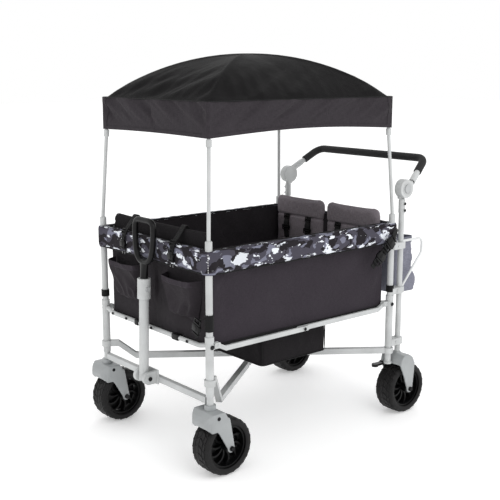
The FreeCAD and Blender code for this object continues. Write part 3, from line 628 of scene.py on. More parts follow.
@dataclass
class Loop:
    """A rounded rectangle seen from above, walked by distance from its front left corner."""

    half_x: float
    half_y: float
    middle_y: float
    radius: float

    def length(self) -> float:
        """Distance around."""
        return 4 * (self.half_x + self.half_y) - 8 * self.radius + TAU * self.radius

    def at(self, share: float, grow: float = 0.0) -> tuple[Vector, Vector]:
        """A point on the loop and the way out of it.

        Args:
            share: Distance around as a share, from the middle of the -Y side, towards +X.
            grow: How far outside the loop the point lies.
        Returns:
            The point at z = 0 and the outward direction.
        """
        r = self.radius
        sx, sy, arc = self.half_x - r, self.half_y - r, math.pi / 2 * r
        left = (share % 1.0) * self.length()
        runs = [(Vector((0, -self.half_y, 0)), Vector((1, 0, 0)), sx, Vector((0, -1, 0)))]
        corners = [(sx, -sy, -90), (sx, sy, 0), (-sx, sy, 90), (-sx, -sy, 180)]
        straights = [(Vector((self.half_x, -sy, 0)), Vector((0, 1, 0)), 2 * sy, Vector((1, 0, 0))),
                     (Vector((sx, self.half_y, 0)), Vector((-1, 0, 0)), 2 * sx, Vector((0, 1, 0))),
                     (Vector((-self.half_x, sy, 0)), Vector((0, -1, 0)), 2 * sy, Vector((-1, 0, 0))),
                     (Vector((-sx, -self.half_y, 0)), Vector((1, 0, 0)), sx, Vector((0, -1, 0)))]
        shift = Vector((0, self.middle_y, 0))
        for i in range(5):
            start, way, span, out = runs[0] if i == 0 else straights[i - 1]
            if left <= span or i == 4:
                return start + way * min(left, span) + out * grow + shift, out
            left -= span
            x, y, turn = corners[i]
            if left <= arc:
                angle = math.radians(turn) + left / r
                out = Vector((math.cos(angle), math.sin(angle), 0))
                return Vector((x, y, 0)) + out * max(r + grow, 0.0) + shift, out
            left -= arc
        raise ValueError("share outside the loop")


def smooth_path(points: Sequence[Point], steps: int) -> list[Vector]:
    """Points spaced evenly along a smooth curve through the given ones."""
    pts = [Vector(p) for p in points]
    if len(pts) == 2:
        return [pts[0].lerp(pts[1], i / steps) for i in range(steps + 1)]
    pts = [pts[0] * 2 - pts[1]] + pts + [pts[-1] * 2 - pts[-2]]
    fine = []
    for a, b, c, d in zip(pts, pts[1:], pts[2:], pts[3:]):
        for i in range(24):
            t = i / 24
            fine.append(0.5 * ((2 * b) + (c - a) * t + (2 * a - 5 * b + 4 * c - d) * t ** 2
                               + (3 * b - a - 3 * c + d) * t ** 3))
    fine.append(pts[-2])
    lengths = [0.0]
    for a, b in zip(fine, fine[1:]):
        lengths.append(lengths[-1] + (b - a).length)
    out, j = [], 0
    for i in range(steps + 1):
        want = lengths[-1] * i / steps
        while j < len(fine) - 2 and lengths[j + 1] < want:
            j += 1
        gap = lengths[j + 1] - lengths[j] or 1.0
        out.append(fine[j].lerp(fine[j + 1], (want - lengths[j]) / gap))
    return out


def path_length(path: Sequence[Vector]) -> float:
    """Length of a run of points."""
    return sum((b - a).length for a, b in zip(path, path[1:]))


def strap(name: str, points: Sequence[Point], across: Point, width: float = 0.025,
          thickness: float = 0.0016, steps: int = 48) -> bpy.types.Object:
    """Flat webbing along a smooth path.

    Args:
        name: Object name.
        points: Points that the middle of the webbing passes.
        across: Direction of its width.
        width: Webbing width.
        thickness: Webbing thickness.
        steps: Faces along it.
    Returns:
        The strap.
    """
    path = smooth_path(points, steps)
    side = Vector(across).normalized() * width

    def place(u: float, v: float) -> Vector:
        """Point across and along the strap."""
        return path[round(v * steps)] + side * (u - 0.5)

    obj = surface(name, 6, steps, place, (width, path_length(path)))
    thicken(obj, thickness, 0.0)
    modify(obj, "BEVEL", width=thickness * 0.3, segments=1, limit_method="ANGLE")
    smooth(obj, 60)
    return obj


def tube(name: str, points: Sequence[Point], radius: float, steps: int = 60, sides: int = 12,
         closed: bool = False) -> bpy.types.Object:
    """A round cord or piping along a path, with closed ends unless it is a ring."""
    path = [Vector(p) for p in points] if closed else smooth_path(points, steps)
    steps = len(path) - 1
    frames, up = [], Vector((0, 0, 1))
    for i, p in enumerate(path):
        before, after = path[max(i - 1, 0)], path[min(i + 1, steps)]
        if closed and i in (0, steps):
            before, after = path[-2], path[1]
        way = (after - before).normalized()
        if abs(way.dot(up)) > 0.95:
            up = Vector((1, 0, 0)) if i == 0 else frames[-1][0]
        side = (up - way * up.dot(way)).normalized()
        frames.append((side, way.cross(side)))
        up = side

    def place(u: float, v: float) -> Vector:
        """Point around and along the tube."""
        i = round(v * steps)
        side, other = frames[i]
        angle = TAU * u
        end = 0.0 if not closed and i in (0, steps) else 1.0
        return path[i] + (side * math.cos(angle) + other * math.sin(angle)) * radius * end

    obj = surface(name, sides, steps, place, (TAU * radius, path_length(path)), welded=True)
    smooth(obj, 60)
    return obj


def stitches(name: str, points: Sequence[Point], out: Point, pitch: float = 0.006, size: float = 0.0009,
             length: float = 0.0036) -> bpy.types.Object:
    """A row of raised thread stitches along a path.

    Args:
        name: Object name.
        points: Points of the seam line.
        out: Direction away from the cloth.
        pitch: Distance from stitch to stitch.
        size: Thread thickness.
        length: Length of one stitch.
    Returns:
        All the stitches as one mesh.
    """
    rough = smooth_path(points, 8)
    count = max(2, int(path_length(rough) / pitch))
    path = smooth_path(points, count)
    deselect()
    bpy.ops.mesh.primitive_cube_add(size=1)
    seed = bpy.context.object
    away = Vector(out).normalized()
    parts = []
    for a, b in zip(path, path[1:]):
        way = (b - a).normalized()
        side = away.cross(way).normalized()
        basis = Matrix((way, side, away)).transposed().to_4x4()
        move = Matrix.Translation((a + b) / 2 + away * size * 0.3)
        parts.append(copy(seed, name, move @ basis @ Matrix.Diagonal((length, size, size, 1))))
    bpy.data.objects.remove(seed)
    obj = join(name, parts)
    modify(obj, "BEVEL", width=size * 0.3, segments=1)
    smooth(obj, 60)
    return obj


# --- places read from the frame -----------------------------------------------------------------
@dataclass(frozen=True)
class Places:
    """Main places of the frame, worked out from its nodes."""

    leg_r: float = 12 * MM

    @property
    def leg_x(self) -> float:
        """Distance of a leg axis from the middle plane."""
        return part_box("front_legs")[1].x - self.leg_r

    @property
    def front_y(self) -> float:
        """Y of the front leg axes."""
        low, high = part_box("front_legs")
        return (low.y + high.y) / 2

    @property
    def rear_y(self) -> float:
        """Y of the rear leg axes."""
        low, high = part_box("rear_legs")
        return (low.y + high.y) / 2

    @property
    def mid_y(self) -> float:
        """Y midway between the legs."""
        return (self.front_y + self.rear_y) / 2

    @property
    def fold_travel(self) -> float:
        """How far the front frame comes back when folded."""
        return next(j["range_m"][1] for j in frame["record"]["behaviour"]["joints"] if j["name"] == "fold")


AT = Places()


def folds(obj: bpy.types.Object, node: str) -> bpy.types.Object:
    """Gives a cloth piece a mesh of its own; the share it would keep as the frame folds is worked out but not applied.

    Args:
        obj: The cloth piece.
        node: The node whose length the cloth shares.
    Returns:
        The piece.
    """
    low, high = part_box(node)
    keep = 1 - AT.fold_travel / (high.y - low.y)
    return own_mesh(obj)


def cloth(obj: bpy.types.Object, long_side: float, wall: float = 0.0012) -> bpy.types.Object:
    """Gives a sheet its wall.

    Args:
        obj: One-sided sheet.
        long_side: Longer side of the cut.
        wall: Cloth thickness.
    Returns:
        The finished sheet.
    """
    area = sum(face.area for face in obj.data.polygons)
    thicken(obj, wall)
    smooth(obj, 60)
    area / long_side
    return obj


def band(name: str, loop: Loop, top: Callable[[float], float], height: float, grow: float,
         wall: float, columns: int = 240, rows: int = 3) -> bpy.types.Object:
    """A flat binding that runs round a loop.

    Args:
        name: Object name.
        loop: The loop it follows.
        top: Height of its upper edge at a share of the loop.
        height: Width of the binding.
        grow: How far outside the loop it lies.
        wall: Its thickness.
        columns: Faces around.
        rows: Faces up.
    Returns:
        The binding.
    """
    def place(u: float, v: float) -> Vector:
        """Point at a share of the loop and of the height."""
        point, _ = loop.at(u, grow)
        return Vector((point.x, point.y, top(u % 1.0) - v * height))

    obj = surface(name, columns, rows, place, (loop.length(), height), welded=True)
    thicken(obj, wall, 0.0)
    smooth(obj, 60)
    return obj


def ring_path(loop: Loop, z: Callable[[float], float], grow: float, count: int = 260) -> list[Vector]:
    """A closed run of points around a loop, at some height and distance."""
    out = []
    for i in range(count + 1):
        share = (i % count) / count
        point, _ = loop.at(share, grow)
        out.append(Vector((point.x, point.y, z(share))))
    return out


# --- canopy -------------------------------------------------------------------------------------
@dataclass
class Canopy:
    """Four-sided dome over crossing poles, with a valance hung from its eave."""

    eave: float = 1259 * MM
    hem: float = 1143 * MM
    side_arch: float = 17 * MM
    ridge: float = 4 * MM
    sag: float = 11 * MM
    strip: float = 26 * MM

    def __post_init__(self) -> None:
        """Reads the roof's box."""
        low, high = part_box("canopy_roof")
        self.half_x, self.half_y, self.top = high.x, (high.y - low.y) / 2, high.z
        self.mid_y = (high.y + low.y) / 2
        half = math.hypot(self.half_x, self.half_y)
        rise = self.top - self.eave
        self.half, self.bow = half, (half ** 2 + rise ** 2) / (2 * rise)
        self.loop = Loop(self.half_x, self.half_y, self.mid_y, 7 * MM)

    def dome_point(self, u: float, v: float) -> Vector:
        """Point of the dome over the plan square."""
        a, b = 2 * u - 1, 2 * v - 1
        big, small = max(abs(a), abs(b)), min(abs(a), abs(b))
        share = min(1.0, (abs(a) ** 18 + abs(b) ** 18) ** (1 / 18)) if big > 0 else 0.0
        z = self.top - self.ridge - self.bow + math.sqrt(self.bow ** 2 - (share * self.half) ** 2)
        z += self.ridge * math.exp(-(((big - small) / 0.045) ** 2)) * ease((1 - share) * 6)
        z -= self.sag * (1 - small / max(big, 1e-6)) * math.sin(math.pi * share ** 1.4)
        side, along = (b, a * self.half_x) if abs(b) > abs(a) else (a, b * self.half_y)
        seed = 3.0 if abs(b) > abs(a) else 9.0
        seed += 5.0 if side > 0 else 0.0
        edge = ease((share - 0.35) / 0.5) * ease((1 - small / max(big, 1e-6)) * 9)
        pucker = wobble(along * 8 + share * 5, seed, share * 1.2) * 8 * MM
        pucker += wobble(along * 27 + share * 3, seed + 2, share * 2) * 1.8 * MM
        pucker *= edge * (1 - 0.75 * ease((share - 0.93) / 0.07))
        out = Vector((a, 0, 0)) if seed in (9.0, 14.0) else Vector((0, b, 0))
        point = Vector((a * self.half_x, self.mid_y + b * self.half_y, z + self.ridge * share))
        return point + out * pucker * 0.6 + Vector((0, 0, pucker))

    def hem_z(self, share: float) -> float:
        """Height of the valance's lower edge at a share of the loop."""
        point, out = self.loop.at(share)
        long_side = abs(out.x) > 0.7
        t = (point.y - self.mid_y) / self.half_y if long_side else point.x / self.half_x
        return self.hem + (self.side_arch if long_side else 4 * MM) * (1 - t * t) * (1 - t * t * 0.3)

    def valance_point(self, u: float, v: float) -> Vector:
        """Point of the valance: u around, v from the eave down."""
        point, out = self.loop.at(u)
        z = self.eave + (self.hem_z(u % 1.0) - self.eave) * v
        along = (u % 1.0) * self.loop.length()
        long_side = abs(out.x) > 0.7
        t = (point.y - self.mid_y) / self.half_y if long_side else point.x / self.half_x
        free = ease((1 - abs(t)) * 9)
        lean = 0.55 if out.x + out.y > 0 else -0.55
        slant = along + lean * v * 0.34
        fold = wobble(slant * 13, 1.3, v * 0.8) * 11 * MM * (1 - 0.4 * v)
        fold += wobble(slant * 31, 7.7, v * 1.3) * 5.2 * MM * (1 - 0.7 * v)
        hang = -3.5 * MM * math.sin(math.pi * min(v, 1.0)) * (1 - t * t)
        return Vector((point.x, point.y, z)) + out * ((fold * math.sin(math.pi * min(1, v + 0.12)) + hang) * free)

    def build(self) -> None:
        """Makes the poles, the dome, the valance and their bindings."""
        poles = copy(frame["nodes"]["canopy_arches"], "canopy_poles", Matrix.Identity(4))
        poles.data.materials.clear()
        weld(poles)
        smooth(poles, 50)
        finish(poles, BLACK_PLASTIC, "canopy_rear", ["canopy_arches"])
        dome = surface("canopy_dome", 150, 170, self.dome_point, (2.1 * self.half_x, 2.1 * self.half_y))
        cloth(dome, 2.1 * self.half_y)
        finish(dome, DOME, "canopy_rear", ["canopy_roof"])
        valance = surface("canopy_valance", 520, 26, self.valance_point,
                          (self.loop.length(), self.eave - self.hem), welded=True)
        cloth(valance, self.loop.length())
        finish(valance, VALANCE, "canopy_rear")
        seam = tube("canopy_eave_seam", ring_path(self.loop, lambda s: self.eave, 0.6 * MM), 1.6 * MM, closed=True)
        finish(seam, BINDING, "canopy_rear")
        hem = surface("canopy_hem", 520, 3, self.hem_point, (self.loop.length(), 0.011), welded=True)
        thicken(hem, 1.2 * MM, 0.0)
        smooth(hem, 60)
        finish(hem, VALANCE, "canopy_rear")
        strips = [self.corner_strip(i) for i in range(4)]
        strip = finish(join("canopy_corner_strips", strips), VALANCE, "canopy_rear")
        for piece in (poles, dome, valance, seam, hem, strip):
            folds(piece, "canopy_roof")

    def hem_point(self, u: float, v: float) -> Vector:
        """Point of the turned hem, just outside the valance."""
        share = 0.905 + 0.095 * v
        _, out = self.loop.at(u)
        return self.valance_point(u, share) + out * 0.9 * MM - Vector((0, 0, 0.6 * MM * v))

    def corner_strip(self, corner: int) -> bpy.types.Object:
        """Reinforcing strip folded round one valance corner."""
        length = self.loop.length()
        front = self.half_x - 3.5 * MM
        middle = [front, front + 2 * self.half_y - 3 * MM, -front - 2 * self.half_y + 3 * MM, -front][corner] / length

        def place(u: float, v: float) -> Vector:
            """Point across and down the strip."""
            share = middle + (u - 0.5) * 2 * self.strip / length
            _, out = self.loop.at(share)
            return self.valance_point(share, v) + out * 1.2 * MM

        obj = surface(f"strip_{corner}", 16, 26, place, (2 * self.strip, self.eave - self.hem))
        thicken(obj, 1.0 * MM, 0.0)
        smooth(obj, 60)
        return obj


# --- bumper and tub -----------------------------------------------------------------------------
@dataclass
class Bumper:
    """Padded cover over the top rails, in printed cloth with dark binding."""

    outer: float = 20 * MM
    inner: float = 17 * MM
    corner: float = 46 * MM

    def __post_init__(self) -> None:
        """Reads the bumper's box."""
        low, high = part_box("bumper_cover")
        self.low, self.high = low.z, high.z
        offset = (self.outer - self.inner) / 2
        self.thick = (self.outer + self.inner) / 2
        self.loop = Loop(AT.leg_x + offset, (AT.rear_y - AT.front_y) / 2 + offset, AT.mid_y, 20 * MM)

    def point(self, u: float, v: float) -> Vector:
        """Point around the loop and around the padded section."""
        angle = TAU * v - math.pi / 2
        c, s = math.cos(angle), math.sin(angle)
        along = (u % 1.0) * self.loop.length()
        near_end = math.sin(u * TAU) * 3, math.cos(u * TAU) * 3
        _, out = self.loop.at(u)
        corner = min(1.0, 6 * abs(out.x * out.y))
        grow = math.copysign(abs(c) ** (0.6 - 0.42 * corner), c) * (self.thick - 0.4 * MM)
        grow += 5.5 * MM * corner * max(0.0, c) ** 0.3
        grow += wobble(near_end[0] * 4, near_end[1] * 4, v * 3) * 1.4 * MM * abs(c)
        tuck = wobble(along * 26, 2.0, 0.0) * 1.5 * MM * (1 if s < -0.5 else 0)
        z = (self.low + self.high) / 2 + math.copysign(abs(s) ** (0.72 - 0.4 * corner), s) * (self.high - self.low) / 2
        z += wobble(near_end[0] * 5, near_end[1] * 5, 9.0) * 1.6 * MM + tuck
        point, _ = self.loop.at(u, grow)
        return Vector((point.x, point.y, z))

    def build(self) -> None:
        """Makes the cover, its piping and its corner seams."""
        section = 2 * (self.high - self.low) + 3.2 * self.thick
        cover = surface("bumper_cover_print", 420, 36, self.point, (self.loop.length(), section), welded=True)
        smooth(cover, 70)
        for piece in self.fit(cover, CAMO, ["bumper_cover"]):
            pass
        low = tube("bumper_lower_binding", ring_path(self.loop, lambda s: self.low + 2 * MM, self.thick - 7 * MM),
                   2.6 * MM, closed=True)
        top = tube("bumper_inner_piping", ring_path(self.loop, lambda s: self.high - 2.5 * MM, -self.thick + 6 * MM),
                   3.0 * MM, closed=True)
        for ring in (low, top):
            self.fit(ring, BINDING, [])
        r, thick = self.loop.radius, self.thick
        for sy, end in ((-1, "front"), (1, "rear")):
            rows = []
            for sx in (-1, 1):
                out = Vector((sx, sy, 0)).normalized()
                core = Vector((sx * (self.loop.half_x - r), self.loop.middle_y + sy * (self.loop.half_y - r), 0))
                heights = ((1.24, self.low + 7 * MM), (1.3, self.low + 26 * MM), (1.3, self.low + 54 * MM),
                           (1.24, self.high - 7 * MM))
                line = [core + out * (r + thick * k) + Vector((0, 0, z)) for k, z in heights]
                rows.append(stitches("corner", line, out, 8 * MM, 2.0 * MM, 5.0 * MM))
            finish(join(f"bumper_stitching_{end}", rows), THREAD, f"{end}_frame")

    def fit(self, ring: bpy.types.Object, look: Finish, nodes: Sequence[str]) -> list[bpy.types.Object]:
        """Parts a ring at its straight sides: the ends ride on the frames, and the sides ride on the rear frame.

        Args:
            ring: Closed ring around the top rails.
            look: Its finish.
            nodes: Nodes it stands for.
        Returns:
            The front, the rear and the sides.
        """
        front, rear = AT.front_y + self.corner, AT.rear_y - self.corner
        gone = {"front": lambda y: y > front, "rear": lambda y: y < rear, "sides": lambda y: not front < y < rear}
        pieces = []
        for end, test in gone.items():
            piece = copy(ring, f"{ring.name}_{end}", Matrix.Identity(4))
            choose(piece, "FACE", lambda face, test=test: test(face.center.y))
            bpy.ops.mesh.delete(type="FACE")
            bpy.ops.object.mode_set(mode="OBJECT")
            finish(piece, look, "front_frame" if end == "front" else "rear_frame", nodes)
            if end == "sides":
                keep = 1 - AT.fold_travel / (rear - front)
                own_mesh(piece)
            pieces.append(piece)
        bpy.data.objects.remove(ring)
        return pieces


@dataclass
class Tub:
    """Sewn tub: outer shell, dark lining, floor with the footwell below it, and an inner pocket."""

    radius: float = 18 * MM
    lining_gap: float = 10 * MM

    def __post_init__(self) -> None:
        """Reads the tub's and the footwell's boxes."""
        low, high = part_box("fabric_tub")
        self.low, self.high = low.z, high.z
        self.half_x, self.half_y, self.mid_y = high.x, (high.y - low.y) / 2, (high.y + low.y) / 2
        self.loop = Loop(self.half_x + 1 * MM, self.half_y + 1 * MM, self.mid_y, self.radius)
        low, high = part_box("footwell_basket")
        self.well_low, self.well_high = low, high

    def shell_point(self, u: float, v: float) -> Vector:
        """Point of the outer shell: u around, v from under the bumper down."""
        along = (u % 1.0) * self.loop.length()
        point, out = self.loop.at(u)
        long_side = abs(out.x) > 0.7
        t = (point.y - self.mid_y) / self.half_y if long_side else point.x / self.half_x
        free = ease((1 - abs(t)) * 6)
        pull = wobble(along * 5 + v * 1.6, 4.0, v * 1.4) * 8 * MM + wobble(along * 12 - v * 3.5, 1.0, v * 2) * 3.2 * MM
        near = math.exp(-((1 - abs(t)) / 0.16) ** 2)
        pull += near * wobble(along * 26 + v * 7, 5.0, v * 2) * 4.5 * MM
        pull *= math.sin(math.pi * min(1.0, 0.08 + v * 0.92)) * free
        pull = max(pull, -4 * MM + pull * 0.2)
        z = self.high - 30 * MM + (self.low - 8 * MM - self.high + 30 * MM) * v
        lift = 9 * MM * ease((abs(t) - 0.86) / 0.14) * ease((v - 0.7) / 0.3) if long_side else 0.0
        return Vector((point.x, point.y, z + lift)) + out * (pull - 1.5 * MM)

    def lining_point(self, u: float, v: float) -> Vector:
        """Point of the inner lining, from the bumper's inner edge down to the floor."""
        along = (u % 1.0) * self.loop.length()
        point, out = self.loop.at(u, -self.lining_gap)
        fold = wobble(along * 7 + v * 0.8, 8.0, v * 1.2) * 13 * MM * math.sin(math.pi * min(1, 0.15 + v * 0.8))
        z = self.high - 1 * MM + (self.low + 5 * MM - self.high) * v
        return Vector((point.x, point.y, z)) - out * abs(fold)

    def floor_point(self, u: float, v: float) -> Vector:
        """Point of the floor, which dips a little between its edges."""
        x, y = (2 * u - 1) * (self.half_x - 2 * MM), (2 * v - 1) * (self.half_y - 2 * MM)
        dip = 2 * MM * math.cos(math.pi * (u - 0.5)) * math.cos(math.pi * (v - 0.5))
        return Vector((x, self.mid_y + y, self.low + 3 * MM - dip))

    def well_point(self, u: float, v: float) -> Vector:
        """Point of the footwell: down its walls, then in across its bottom."""
        low, high = self.well_low, self.well_high
        loop = Loop((high.x - low.x) / 2, (high.y - low.y) / 2, (high.y + low.y) / 2, 20 * MM)
        wall = 0.55
        point, out = loop.at(u)
        centre = Vector((0, loop.middle_y, 0))
        if v <= wall:
            t = v / wall
            bow = wobble(u * 40, 3.0, t * 2) * 2.5 * MM * math.sin(math.pi * t)
            z = high.z + (low.z + 5 * MM - high.z) * t
            return Vector((point.x, point.y, z)) - out * (4 * MM * t - bow)
        t = (v - wall) / (1 - wall)
        point = centre + (point - out * 4 * MM - centre) * (1 - t)
        z = low.z + 5 * MM - 4.5 * MM * ease(t * 6) + 1.5 * MM * wobble(point.x * 9, point.y * 9)
        return Vector((point.x, point.y, z))

    def build(self) -> None:
        """Makes every cloth piece of the tub."""
        height = self.high - self.low
        shell = surface("tub_shell", 420, 44, self.shell_point, (self.loop.length(), height), welded=True)
        cloth(shell, self.loop.length())
        finish(shell, SHELL, "rear_frame", ["fabric_tub"])
        lining = surface("tub_lining", 300, 24, self.lining_point, (self.loop.length(), height), welded=True)
        cloth(lining, self.loop.length(), 1.0 * MM)
        finish(lining, LINER, "rear_frame")
        floor = surface("tub_floor", 62, 86, self.floor_point, (2 * self.half_x, 2 * self.half_y))
        self.cut_well(floor)
        cloth(floor, 2 * self.half_y, 1.4 * MM)
        finish(floor, LINER, "rear_frame")
        well = surface("footwell_cloth", 200, 48, self.well_point, (1.6, 0.33), welded=True)
        cloth(well, 1.6, 1.4 * MM)
        finish(well, WELL, "rear_frame", ["footwell_basket"])
        span = (self.half_x - self.radius) / self.loop.length()

        def front_point(u: float, v: float) -> Vector:
            """Point of the dark front wall, just outside the shell."""
            return self.shell_point((2 * u - 1) * span, v) + Vector((0, -1.4 * MM, 0))

        front = surface("tub_front_wall", 110, 44, front_point, (2 * self.half_x, height))
        cloth(front, 2 * self.half_x, 1.0 * MM)
        finish(front, LINER, "rear_frame")
        pieces = [shell, front, lining, floor, well, self.well_piping(), self.shell_binding(), self.inner_pocket()]
        for piece in pieces:
            folds(piece, "fabric_tub")

    def cut_well(self, floor: bpy.types.Object) -> None:
        """Opens the floor over the footwell."""
        low, high = self.well_low, self.well_high
        choose(floor, "FACE", lambda face: low.x < face.center.x < high.x and low.y < face.center.y < high.y)
        bpy.ops.mesh.delete(type="FACE")
        bpy.ops.object.mode_set(mode="OBJECT")

    def well_piping(self) -> bpy.types.Object:
        """Piping round the footwell's bottom and up its corners."""
        low, high = self.well_low, self.well_high
        loop = Loop((high.x - low.x) / 2, (high.y - low.y) / 2, (high.y + low.y) / 2, 20 * MM)
        z = low.z + 5 * MM
        parts = [tube("piping", ring_path(loop, lambda s: z, -3.4 * MM, 160), 2.4 * MM, closed=True)]
        for x in (low.x + 6 * MM, high.x - 6 * MM):
            for y in (low.y + 6 * MM, high.y - 6 * MM):
                parts.append(tube("piping", [(x, y, z), (x, y, high.z - 2 * MM)], 2.0 * MM, 8))
        return finish(join("footwell_piping", parts), BINDING, "rear_frame")

    def shell_binding(self) -> bpy.types.Object:
        """Dark binding along the shell's lower edge."""
        def low_z(share: float) -> float:
            """Height of the lower edge."""
            return self.shell_point(share, 1.0).z + 6 * MM

        obj = band("tub_lower_binding", self.loop, low_z, 10 * MM, 0.6 * MM, 2 * MM)
        return finish(obj, BINDING, "rear_frame")

    def inner_pocket(self) -> bpy.types.Object:
        """Flat pocket on the lining of the right wall."""
        wall = -self.half_x + self.lining_gap + 2 * MM
        y, z = (self.mid_y + 104 * MM, self.mid_y + 279 * MM), (618 * MM, 694 * MM)

        def place(u: float, v: float) -> Vector:
            """Point across and up the pocket."""
            bulge = math.sin(math.pi * u) ** 0.5 * (4 + 7 * v) * MM
            return Vector((wall + bulge, y[0] + (y[1] - y[0]) * u, z[0] + (z[1] - z[0]) * v - 3 * MM * bulge / MM / 11))

        obj = surface("lining_pocket", 36, 16, place, (y[1] - y[0], z[1] - z[0]))
        thicken(obj, 1.6 * MM)
        proud = Vector((0.8 * MM, 0, 0.4 * MM))
        hem = surface("lining_pocket_hem", 36, 3, lambda u, v: place(u, 0.84 + 0.16 * v) + proud,
                      (y[1] - y[0], 0.012))
        thicken(hem, 1.2 * MM, 0.0)
        obj = join("lining_pocket", [obj, hem])
        smooth(obj, 60)
        return finish(obj, LINER, "rear_frame")


# --- pads ---------------------------------------------------------------------------------------
@dataclass
class Pad:
    """A stuffed pad blown up from a slim block by a short cloth simulation."""

    name: str
    low: Vector
    high: Vector
    crown: float = 8 * MM
    corner: float = 30 * MM
    cap: float = 7 * MM
    pressure: float = 4.0
    voxel: float = 6 * MM
    frames: int = 16

    def make(self) -> bpy.types.Object:
        """Makes the pad's mesh."""
        size = self.high - self.low
        thin = min(range(3), key=lambda i: size[i])
        deselect()
        bpy.ops.mesh.primitive_cube_add(size=1, location=(self.low + self.high) / 2, scale=size)
        obj = named(self.name)
        self.round_corners(obj, thin)
        modify(obj, "REMESH", mode="VOXEL", voxel_size=self.voxel)
        rest = [v.co.copy() for v in obj.data.vertices]
        self.inflate(obj)
        self.settle(obj, rest, thin)
        modify(obj, "SUBSURF", levels=1, render_levels=1)
        smooth(obj, 80)
        return obj

    def round_corners(self, obj: bpy.types.Object, thin: int) -> None:
        """Rounds the four edges that cross the pad, then softens the rest."""
        axis = Vector([1.0 if i == thin else 0.0 for i in range(3)])
        points = obj.data.vertices

        def crossing(edge: bpy.types.MeshEdge) -> bool:
            """Whether an edge runs through the pad's thickness."""
            a, b = (points[i].co for i in edge.vertices)
            return abs((b - a).normalized().dot(axis)) > 0.9

        choose(obj, "EDGE", crossing)
        bpy.ops.mesh.bevel(offset=self.corner, segments=6)
        bpy.ops.object.mode_set(mode="OBJECT")
        modify(obj, "BEVEL", width=5 * MM, segments=2, limit_method="ANGLE", angle_limit=math.radians(50))

    def inflate(self, obj: bpy.types.Object) -> None:
        """Blows the pad up a little."""
        pick(obj)
        cloth_mod = obj.modifiers.new("puff", "CLOTH")
        cloth_mod.settings.use_pressure = True
        cloth_mod.settings.uniform_pressure_force = self.pressure
        cloth_mod.settings.effector_weights.gravity = 0
        cloth_mod.settings.quality = 4
        cloth_mod.point_cache.frame_end = self.frames
        for step in range(1, self.frames + 1):
            bpy.context.scene.frame_set(step)
        bpy.ops.object.modifier_apply(modifier=cloth_mod.name)
        bpy.context.scene.frame_set(1)

    def settle(self, obj: bpy.types.Object, rest: Sequence[Vector], thin: int) -> None:
        """Caps how far a point has moved and crowns the faces."""
        middle, size = (self.low + self.high) / 2, self.high - self.low
        wide = [i for i in range(3) if i != thin]
        for vertex, start in zip(obj.data.vertices, rest):
            move = vertex.co - start
            if move.length > self.cap:
                vertex.co = start + move.normalized() * self.cap
            a, b = ((start[i] - middle[i]) / (size[i] / 2) for i in wide)
            lift = self.crown * (1 - min(1, a * a) ** 2) * (1 - min(1, b * b) ** 2)
            vertex.co[thin] += lift * (1 if start[thin] > middle[thin] else -1)
            vertex.co[wide[0]] -= a * (1 - b * b) * 2 * MM
            vertex.co[wide[1]] -= b * (1 - a * a) * 2 * MM


def sew_line(obj: bpy.types.Object, axis: int, at: float, depth: float, face: int, sign: float,
             width: float = 5 * MM) -> None:
    """Draws a pad's face in along a straight seam.

    Args:
        obj: The pad.
        axis: Axis that the seam is square to.
        at: Its place on that axis.
        depth: How deep it pulls.
        face: Axis across the pad.
        sign: Which face, 1 for the higher one.
        width: Width of the valley.
    """
    middle = sum(v.co[face] for v in obj.data.vertices) / len(obj.data.vertices)
    for vertex in obj.data.vertices:
        if (vertex.co[face] - middle) * sign > 0:
            vertex.co[face] -= sign * depth * math.exp(-(((vertex.co[axis] - at) / width) ** 2))


# --- seats, panel, pockets and bag --------------------------------------------------------------
def box_uv(obj: bpy.types.Object) -> None:
    """Lays a UV map in metres over a pad, face by face along its main direction."""
    layer = obj.data.uv_layers.get("UVMap") or obj.data.uv_layers.new(name="UVMap")
    for face in obj.data.polygons:
        normal = face.normal
        main = max(range(3), key=lambda i: abs(normal[i]))
        flat = [i for i in range(3) if i != main]
        for index in face.loop_indices:
            co = obj.data.vertices[obj.data.loops[index].vertex_index].co
            layer.data[index].uv = (co[flat[0]], co[flat[1]])


def placed(obj: bpy.types.Object, centre: Point, across: Point, along: Point) -> bpy.types.Object:
    """Moves a fitting made flat at the origin (x across, y along, z out) to its place."""
    x, y = Vector(across).normalized(), Vector(along).normalized()
    z = x.cross(y)
    basis = Matrix((x, y, z)).transposed().to_4x4()
    obj.data.transform(Matrix.Translation(Vector(centre)) @ basis)
    return obj


def slabs(name: str, rows: Sequence[Sequence[float]], bevel: float) -> bpy.types.Object:
    """Rounded blocks in millimetres, joined: x, y, z low then x, y, z high."""
    parts = [block(name, [v * MM for v in row[:3]], [v * MM for v in row[3:]], bevel, 2) for row in rows]
    return join(name, parts)


def buckle(name: str) -> bpy.types.Object:
    """A side-release buckle for 25 mm webbing, flat at the origin."""
    return slabs(name, [(-15, -14, 0, 15, 6, 7), (-17.5, -6, 1, -13, 5, 6), (13, -6, 1, 17.5, 5, 6),
                        (-14, 7, 1, 14, 12, 6), (-14, 12, 1.5, -10.5, 22, 5), (10.5, 12, 1.5, 14, 22, 5),
                        (-14, 20, 1.5, 14, 23, 5.5), (-11, -20, 1.5, -8, -13, 5), (8, -20, 1.5, 11, -13, 5),
                        (-14, -22, 1.5, 14, -19, 5.5), (-5, -11, 6.4, 5, 2, 7.8)], 0.9 * MM)


def slider(name: str) -> bpy.types.Object:
    """A three-bar slider for 25 mm webbing, flat at the origin."""
    return slabs(name, [(-16, -11, 0, -12.5, 11, 4), (12.5, -11, 0, 16, 11, 4), (-14, -11.5, 0, 14, -8, 4),
                        (-14, -1.8, 0.5, 14, 1.8, 5), (-14, 8, 0, 14, 11.5, 4)], 0.9 * MM)


